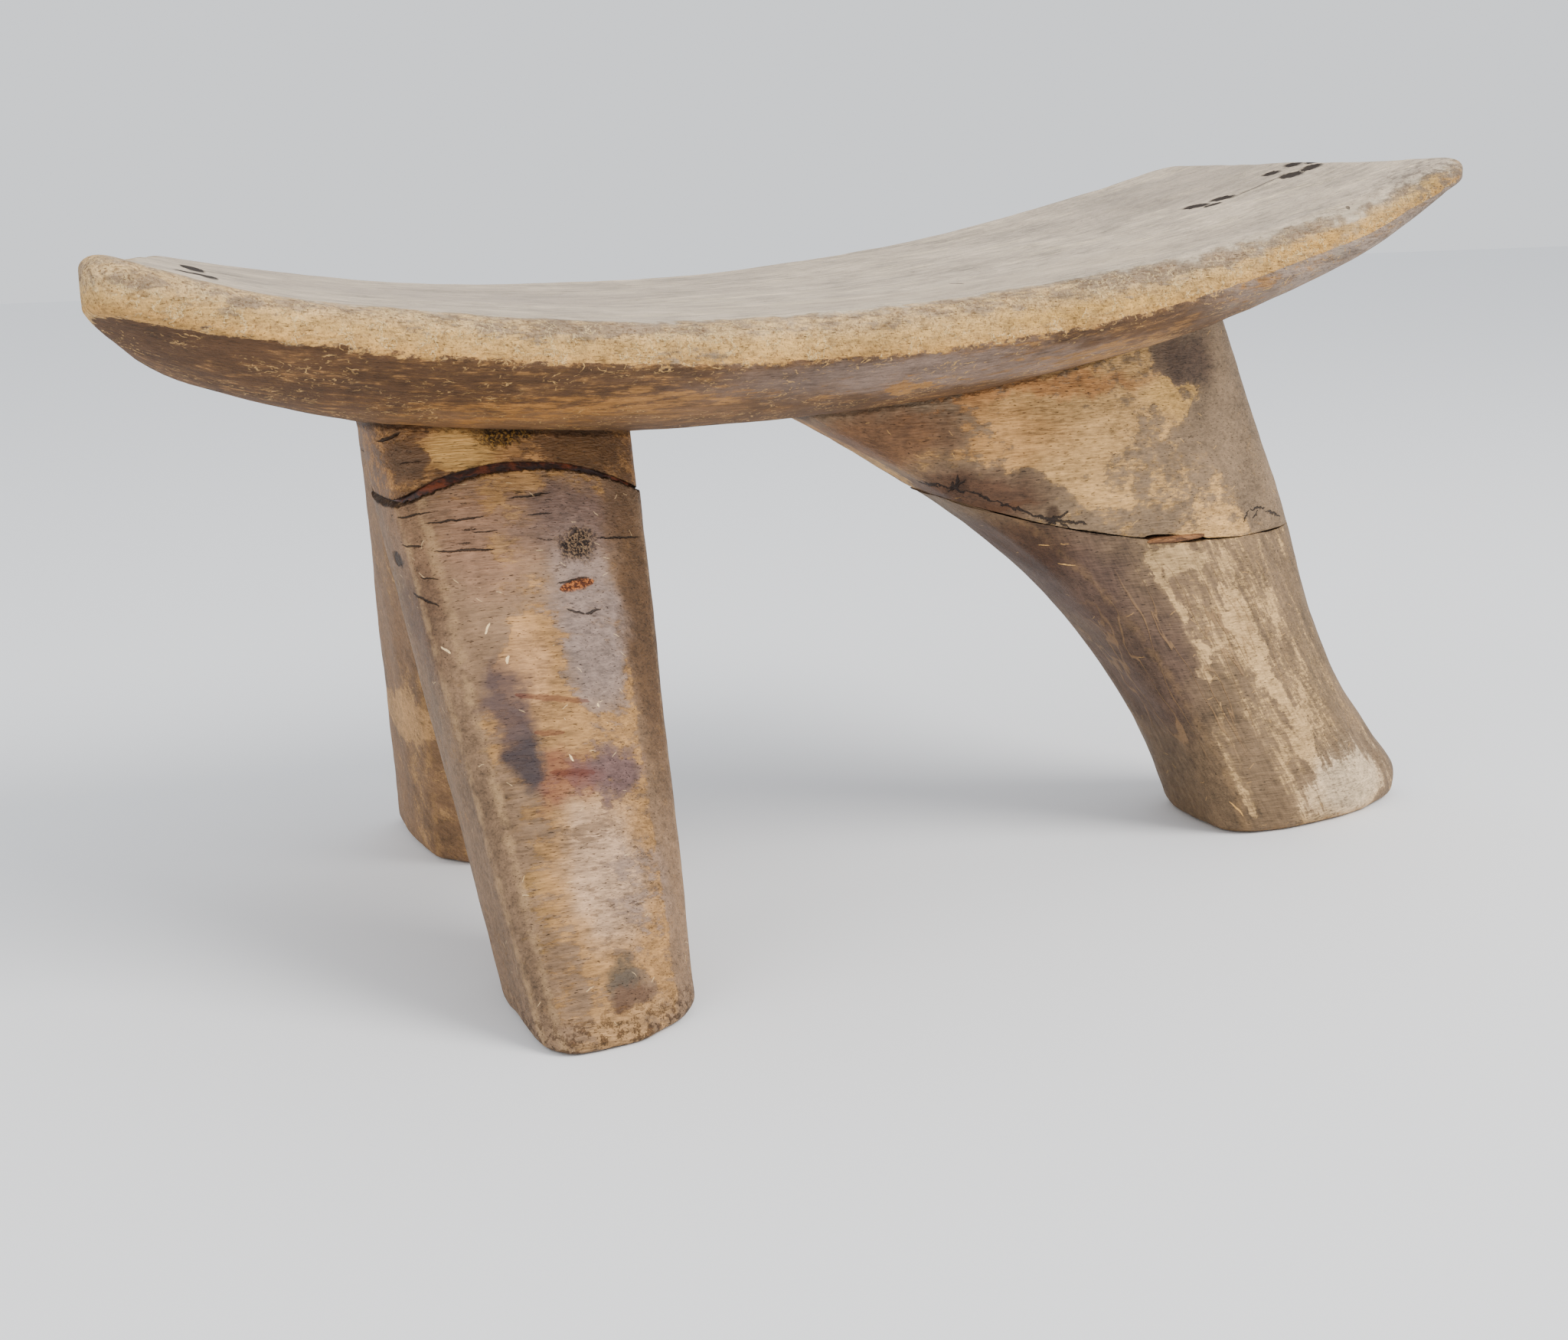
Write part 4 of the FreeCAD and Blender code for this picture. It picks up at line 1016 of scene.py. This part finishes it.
def smooth_curve(places, values, at):
    """A curve through the values that keeps their slope: cubic pieces between neighbours."""
    slopes = np.gradient(values, places)
    at = np.clip(at, places[0], places[-1])
    index = np.clip(np.searchsorted(places, at) - 1, 0, len(places) - 2)
    step = places[index + 1] - places[index]
    way = (at - places[index]) / step
    return ((1 + 2 * way) * (1 - way) ** 2 * values[index]
            + way * (1 - way) ** 2 * step * slopes[index]
            + way ** 2 * (3 - 2 * way) * values[index + 1]
            + way ** 2 * (way - 1) * step * slopes[index + 1])


rear_shares = softened(REAR_LEG_SHARES, 3.6)


def rear_leg_plan(height):
    """Plan points of the rear leg, each at its own height."""
    way = height / REAR_LEG_HEIGHT
    inner, outer, depth = (
        smooth_curve(REAR_SECTIONS[:, 0], REAR_SECTIONS[:, column], way) for column in (1, 2, 3))
    middle = LEFT_TIP + SEAT_LENGTH * (inner + outer) / 2 + TOE_REACH * (1 - way)
    return (middle + SEAT_LENGTH * (outer - inner) / 2 * rear_shares[:, 0],
            REAR_LEG_SHIFT + REAR_HALF_DEPTH * depth * rear_shares[:, 1])


def check_line(x, y, gape=0.0):
    """Height of the check: the lowest part of a circle along the stool. On the near side it gapes."""
    lens = np.sqrt(np.clip(1 - ((x - LEFT_TIP - GAPE_MIDDLE) / GAPE_REACH) ** 2, 0, 1))
    lens = lens * np.clip((-0.022 - y) / 0.005, 0, 1)
    line = CHECK_LEVEL - np.sqrt(CHECK_RADIUS ** 2 - (x - LEFT_TIP - CHECK_MIDDLE) ** 2)
    return line + gape * lens


def rear_root_top(x, y):
    """Height of the root's upper end, inside the wood of the seat."""
    return np.minimum(seat_underside(x, y) + 0.004, seat_top(x) - 0.004)


rear_leg_rings = upright_piece(
    rear_leg_plan, floor_level, lambda x, y: check_line(x, y, -0.0010), 0.004, 0.0003, 200)
rear_leg = closed_piece("rear_leg_wood", knife_cut(rear_leg_rings, 0.0006, 21))
rear_root_rings = upright_piece(
    rear_leg_plan, lambda x, y: check_line(x, y, 0.0014), rear_root_top, 0.0003, 0.0002, 150)
rear_root = closed_piece("rear_root_wood", knife_cut(rear_root_rings, 0.0006, 22))

# The sliver is a flat lens: rings around the way along it, box-like in the middle and thin at its ends.
angle = np.linspace(0, 2 * np.pi, LEG_COLUMNS, endpoint=False)
turn = np.linspace(0.05, np.pi - 0.05, 40)[:, None]
along = -0.0128 * np.cos(turn) * np.ones(LEG_COLUMNS)
box_like = np.sign(np.cos(angle)) * np.abs(np.cos(angle)) ** 0.4
sliver_rings = np.stack([
    LEFT_TIP + GAPE_MIDDLE + along,
    -0.0270 + 0.114 * along - 0.0050 * np.sin(turn) ** 0.3 * box_like,
    0.1109 + 0.0013 * np.sin(turn) ** 0.8 * np.sin(angle)], axis=-1)
sliver = closed_piece("torn_sliver", sliver_rings)

# The film shares of the sides are partly painted shade: the side facets get more film than the front
# and come out darker.
facets(rear_leg, REAR_LEG_SHARES, rear_shares, len(rear_leg_rings),
       (0.34, 0.34, 0.24, 0.02, 0.00, 0.08, 0.14, 0.2, 0.1, 0.1, 0.1, 0.1, 0.1, 0.2, 0.3))
facets(rear_root, REAR_LEG_SHARES, rear_shares, len(rear_root_rings),
       (0.25, 0.25, 0.14, 0.00, 0.02, 0.34, 0.42, 0.4, 0.3, 0.1, 0.1, 0.1, 0.1, 0.1, 0.05))
# How far each piece's wood lies from the check, and how far the root's lies below the seat.
store(rear_leg, "from_check", check_line(rear_leg_rings[..., 0], 0) - rear_leg_rings[..., 2])
store(rear_root, "from_check", rear_root_rings[..., 2] - check_line(rear_root_rings[..., 0], 0))
store_below_seat(rear_root, rear_root_rings)

# Cracks that run out from the two knots on the check, and the swirl at its outer end.
REAR_CHECKS = [
    ((0.0346, -0.030, 0.1392), (0.0356, -0.030, 0.1345), 0.00050),
    ((0.0378, -0.030, 0.1370), (0.0352, -0.030, 0.1344), 0.00050),
    ((0.0388, -0.030, 0.1326), (0.0350, -0.030, 0.1346), 0.00050),
    ((0.0240, -0.020, 0.1356), (0.0358, -0.030, 0.1342), 0.00040),
    ((0.0328, -0.030, 0.1320), (0.0356, -0.030, 0.1346), 0.00050),
    ((0.0332, -0.030, 0.1360), (0.0358, -0.030, 0.1342), 0.00045),
    ((0.0350, -0.030, 0.1344), (0.0362, -0.030, 0.1338), 0.00130),
    ((0.0385, -0.031, 0.1334), (0.0525, -0.032, 0.1272), 0.00034),
    ((0.0500, -0.032, 0.1284), (0.0700, -0.033, 0.1212), 0.00045),
    ((0.0690, -0.033, 0.1222), (0.0715, -0.033, 0.1208), 0.00150),
    ((0.0700, -0.033, 0.1220), (0.0752, -0.033, 0.1240), 0.00050),
    ((0.0705, -0.033, 0.1216), (0.0830, -0.033, 0.1192), 0.00050),
    ((0.0700, -0.033, 0.1216), (0.0765, -0.033, 0.1182), 0.00050),
    ((0.0640, -0.033, 0.1226), (0.0705, -0.033, 0.1216), 0.00045),
    ((0.0668, -0.033, 0.1202), (0.0705, -0.033, 0.1214), 0.00050),
    ((0.0698, -0.033, 0.1220), (0.0704, -0.033, 0.1190), 0.00060),
    ((0.1508, -0.024, 0.1132), (0.1548, -0.023, 0.1172), 0.00040),
    ((0.1545, -0.023, 0.1174), (0.1640, -0.018, 0.1164), 0.00045),
    ((0.1560, -0.022, 0.1136), (0.1600, -0.020, 0.1156), 0.00040),
    ((0.1640, -0.018, 0.1152), (0.1740, -0.014, 0.1118), 0.00045)]
KNOTS = [
    ((0.0356, -0.030, 0.1343), (0.0048, 0.02, 0.0042), (52, 32, 18), 0.75),
    ((0.0702, -0.033, 0.1214), (0.0070, 0.02, 0.0040), (52, 32, 18), 0.75),
    ((0.0530, -0.032, 0.1270), (0.0160, 0.02, 0.0030), (86, 54, 30), 0.60)]


def rear_checks(tree, place):
    """The cracks on the rear leg, and the dark line of the check itself, thinner at its two ends."""
    cracks = slits(tree, wire(tree, ragged, place, 0.0010, 330.0), FLAT_ON_SIDE, REAR_CHECKS)
    groove = noise(tree, place, 640.0, 5.0, 0.7)
    groove = added(tree, groove, 0.0022, stored(tree, "from_check"))
    east = wire(tree, "SeparateXYZ", place)
    for start, end in ((0.130, 0.150), (0.075, 0.050)):
        groove = added(tree, fade(tree, east, start, end), 0.0005, groove)
    return larger(tree, cracks, fade(tree, groove, 0.0013, 0.0006))


# Finish of the rear leg: dark mauve-brown film on the shin with pale crackle lines that run down it,
# and streaks of bare ochre wood.
tree, place = new_material(rear_leg, "rear leg wood")
near_place = wire(tree, ragged, place, 0.0004, 330.0)
wide_place = wire(tree, ragged, place, 0.0050, 80.0)
# The film share per facet is partly painted shade on the side facets.
facet_film_and_shade = stored(tree, "facet_film_and_shade")
down = wire(tree, "VectorRotate", place, None, (0.0, 1.0, 0.0), 0.54, rotation_type="AXIS_ANGLE")
cover = amount_of(tree, wide_place, calc(tree, "ADD", facet_film_and_shade, 0.54), [
    ((0.082, -0.030, 0.090), (0.030, 0.05, 0.034), 0.35),
    ((0.105, -0.030, 0.068), (0.024, 0.05, 0.030), 0.35),
    ((0.118, -0.032, 0.104), (0.020, 0.03, 0.006), -0.40),
    ((0.200, -0.026, 0.012), (0.030, 0.05, 0.014), -0.35)])
streaks = slits(tree, wide_place, (1.0, 0.1, 1.0), [
    ((0.108, -0.032, 0.100), (0.136, -0.032, 0.060), 0.0040),
    ((0.139, -0.031, 0.092), (0.166, -0.031, 0.046), 0.0055),
    ((0.138, -0.032, 0.050), (0.153, -0.032, 0.008), 0.0050),
    ((0.160, -0.030, 0.060), (0.186, -0.030, 0.016), 0.0040)])
cover = added(tree, streaks, -0.24, cover)
bare = lay(tree, wide_place, tone(190, 154, 106), [
    ((0.118, -0.032, 0.104), (0.024, 0.03, 0.010), (176, 144, 100), 0.90),
    ((0.200, -0.026, 0.015), (0.035, 0.05, 0.022), (196, 174, 144), 0.80)])
film = lay(tree, wide_place, tone(112, 90, 66), [
    ((0.080, -0.030, 0.090), (0.036, 0.06, 0.040), (82, 62, 52), 0.90),
    ((0.112, -0.030, 0.055), (0.026, 0.06, 0.055), (86, 66, 54), 0.90),
    ((0.060, -0.020, 0.110), (0.030, 0.05, 0.020), (70, 44, 28), 0.80),
    ((0.190, -0.015, 0.060), (0.024, 0.05, 0.050), (112, 90, 64), 0.80)])
color, height, left = worn_wood(
    tree, place, cover, bare, film, 170.0, stretched(tree, down, (1.3, 0.8, 0.20)))
down = stretched(tree, down, (110.0, 50.0, 16.0))
crackle = calc(tree, "ABSOLUTE", centred(tree, noise(tree, down, 1.0, 3.0, 0.45)))
crackle = fade(tree, crackle, 0.014, 0.003)
shin = wire(tree, stain, wide_place, (0.125, -0.030, 0.066), (0.062, 0.06, 0.055))
crackle = times(tree, crackle, shin)
color = paint(tree, color, crackle, 0.50, tone(150, 116, 78))
# Pale facet edges: worn wood, with a painted highlight.
color = worn_and_highlit_edges(tree, place, color, 0.36, 0.66, 0.22, tone(178, 138, 88))
nicks = slits(tree, near_place, FLAT_ON_SIDE, [
    ((0.1450, -0.0306, 0.0136), (0.1510, -0.0330, 0.0072), 0.0003),
    ((0.1360, -0.0300, 0.0170), (0.1390, -0.0300, 0.0120), 0.0004),
    ((0.0720, -0.0300, 0.1060), (0.0800, -0.0300, 0.1050), 0.0002),
    ((0.0660, -0.0300, 0.1130), (0.0700, -0.0300, 0.1126), 0.0002)])
small_nicks = wire(tree, scratches, near_place, 120.0, 0.0014, 0.00016, 0.22)
nicks = larger(tree, nicks, times(tree, small_nicks, 0.4))
color = blend(tree, nicks, color, tone(218, 168, 96))
sole_place = wire(tree, ragged, place, 0.002, 200.0)
worn_sole = wire(tree, stain, sole_place, (0.184, -0.005, -0.004), (0.090, 0.06, 0.0085))
color = paint(tree, color, worn_sole, 0.7, tone(168, 124, 66))
color = lay(tree, wide_place, color, KNOTS)
checks = rear_checks(tree, place)
color = paint(tree, color, checks, 0.88, tone(21, 11, 6))
height = added(tree, checks, -1.8, added(tree, crackle, 0.4, height))
roughness = wire(tree, "Mix", left, None, 0.68, 0.60)
join_finish(rear_leg, color, roughness, height)

# Finish of the rear root: ochre and orange-brown wood, over which a mottled grey film is left.
tree, place = new_material(rear_root, "rear root wood")
near_place = wire(tree, ragged, place, 0.0004, 330.0)
wide_place = wire(tree, ragged, place, 0.0050, 80.0)
# The film share per facet is partly painted shade on the side facets.
facet_film_and_shade = stored(tree, "facet_film_and_shade")
cover = amount_of(tree, wide_place, calc(tree, "ADD", facet_film_and_shade, 0.40), [
    ((0.112, -0.030, 0.138), (0.030, 0.03, 0.024), 0.14),
    ((0.136, -0.021, 0.150), (0.020, 0.03, 0.040), 0.18),
    ((0.128, -0.021, 0.170), (0.016, 0.03, 0.012), 0.40),
    ((0.122, -0.024, 0.158), (0.018, 0.03, 0.007), -0.45),
    ((0.070, -0.034, 0.148), (0.040, 0.05, 0.018), -0.18),
    ((0.045, -0.032, 0.130), (0.036, 0.04, 0.015), 0.55),
    ((0.015, -0.034, 0.156), (0.030, 0.05, 0.014), 0.16),
    ((0.100, -0.032, 0.118), (0.040, 0.03, 0.008), 0.25),
    ((0.100, 0.020, 0.150), (0.120, 0.03, 0.050), 0.15)])
bare = lay(tree, wide_place, tone(192, 150, 94), [
    ((0.010, -0.034, 0.160), (0.050, 0.05, 0.024), (164, 110, 64), 0.90),
    ((0.050, -0.034, 0.150), (0.034, 0.05, 0.016), (186, 136, 80), 0.70),
    ((0.122, -0.024, 0.158), (0.020, 0.03, 0.009), (190, 148, 84), 0.90),
    ((0.070, -0.034, 0.166), (0.060, 0.05, 0.006), (170, 114, 64), 0.80)])
film = lay(tree, wide_place, tone(122, 100, 76), [
    ((0.128, -0.021, 0.170), (0.020, 0.03, 0.016), (84, 64, 50), 0.90),
    ((0.040, -0.032, 0.130), (0.040, 0.05, 0.016), (82, 54, 36), 0.90),
    ((0.010, -0.030, 0.152), (0.034, 0.05, 0.016), (116, 78, 48), 0.80)])
color, height, left = worn_wood(
    tree, place, cover, bare, film, 190.0, stretched(tree, place, (0.62, 1.0, 1.0)))
nicks = wire(tree, scratches, near_place, 130.0, 0.0013, 0.00016, 0.22)
color = paint(tree, color, nicks, 0.45, tone(227, 176, 100))
color = lay(tree, wide_place, color, KNOTS)
# The line where the root meets the seat is painted shade in the crease; the check's lines are cracks.
checks = larger(tree, rear_checks(tree, place), seat_crease_shade(tree, place, 0.6))
color = paint(tree, color, checks, 0.88, tone(28, 16, 9))
height = added(tree, checks, -1.8, height)
roughness = wire(tree, "Mix", left, None, 0.68, 0.60)
join_finish(rear_root, color, roughness, height)

# The sliver: fresh reddish wood, torn along its fibres.
tree, place = new_material(sliver, "torn sliver wood")
color, height, left = worn_wood(
    tree, place, 0.45, tone(136, 94, 60), tone(80, 52, 34), 420.0,
    stretched(tree, place, (0.20, 1.0, 1.0)))
roughness = added(tree, left, -0.1, 0.7)
join_finish(sliver, color, roughness, height, depth=0.0006, coat=0.0)

for piece, node in ((rear_leg, "rear_leg"), (rear_root, "rear_leg_root"), (sliver, "check_sliver")):
    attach(piece, "root")
    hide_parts(node)

# Floor, light and camera.
# A plain pale floor and soft studio light. The camera was solved from the seat's curves and the feet.
# Its angles down from level, to the right of the way across the stool, and around its own line.
pitch, yaw, roll = 0.24457, 0.38606, -0.01117
forward = np.array([np.sin(yaw) * np.cos(pitch), np.cos(yaw) * np.cos(pitch), -np.sin(pitch)])
level_right = np.array([np.cos(yaw), -np.sin(yaw), 0.0])
level_up = np.cross(level_right, forward)
right = level_right * np.cos(roll) + level_up * np.sin(roll)
up = -level_right * np.sin(roll) + level_up * np.cos(roll)
camera = bpy.data.objects.new("camera", bpy.data.cameras.new("camera"))
camera.data.sensor_width = 36.0
camera.data.lens = 49.22
camera.data.clip_start = 0.05
camera.data.clip_end = 20.0
camera.matrix_world = Matrix((
    (right[0], up[0], -forward[0], -0.27729),
    (right[1], up[1], -forward[1], -0.64819),
    (right[2], up[2], -forward[2], 0.24625),
    (0, 0, 0, 1)))
bpy.context.collection.objects.link(camera)
bpy.context.scene.camera = camera

floor_mesh = bpy.data.meshes.new("floor")
floor_mesh.from_pydata([(-3, -3, 0), (3, -3, 0), (3, 3, 0), (-3, 3, 0)], [], [(0, 1, 2, 3)])
floor = bpy.data.objects.new("floor", floor_mesh)
bpy.context.collection.objects.link(floor)

floor_finish = bpy.data.materials.new("pale floor")
floor_finish.use_nodes = True
floor_shader = floor_finish.node_tree.nodes["Principled BSDF"]
floor_shader.inputs["Base Color"].default_value = (0.86, 0.87, 0.89, 1)
floor_shader.inputs["Roughness"].default_value = 0.9
floor_mesh.materials.append(floor_finish)

world = bpy.data.worlds.new("studio")
world.use_nodes = True
world.node_tree.nodes["Background"].inputs["Color"].default_value = (0.93, 0.96, 1.0, 1)
world.node_tree.nodes["Background"].inputs["Strength"].default_value = 1.15
bpy.context.scene.world = world

LIT_POINT = Vector((0, 0, 0.12))
for name, spot, size, power in (
        ("key light", (0.95, -1.10, 1.45), 1.1, 42.0), ("fill light", (-1.3, -0.5, 0.9), 1.2, 7.0)):
    lamp = bpy.data.lights.new(name, "AREA")
    lamp.shape = "DISK"
    lamp.size = size
    lamp.energy = power
    lamp.color = (1.0, 0.97, 0.92)
    light = bpy.data.objects.new(name, lamp)
    light.location = spot
    light.rotation_euler = (LIT_POINT - Vector(spot)).to_track_quat("-Z", "Y").to_euler()
    bpy.context.collection.objects.link(light)
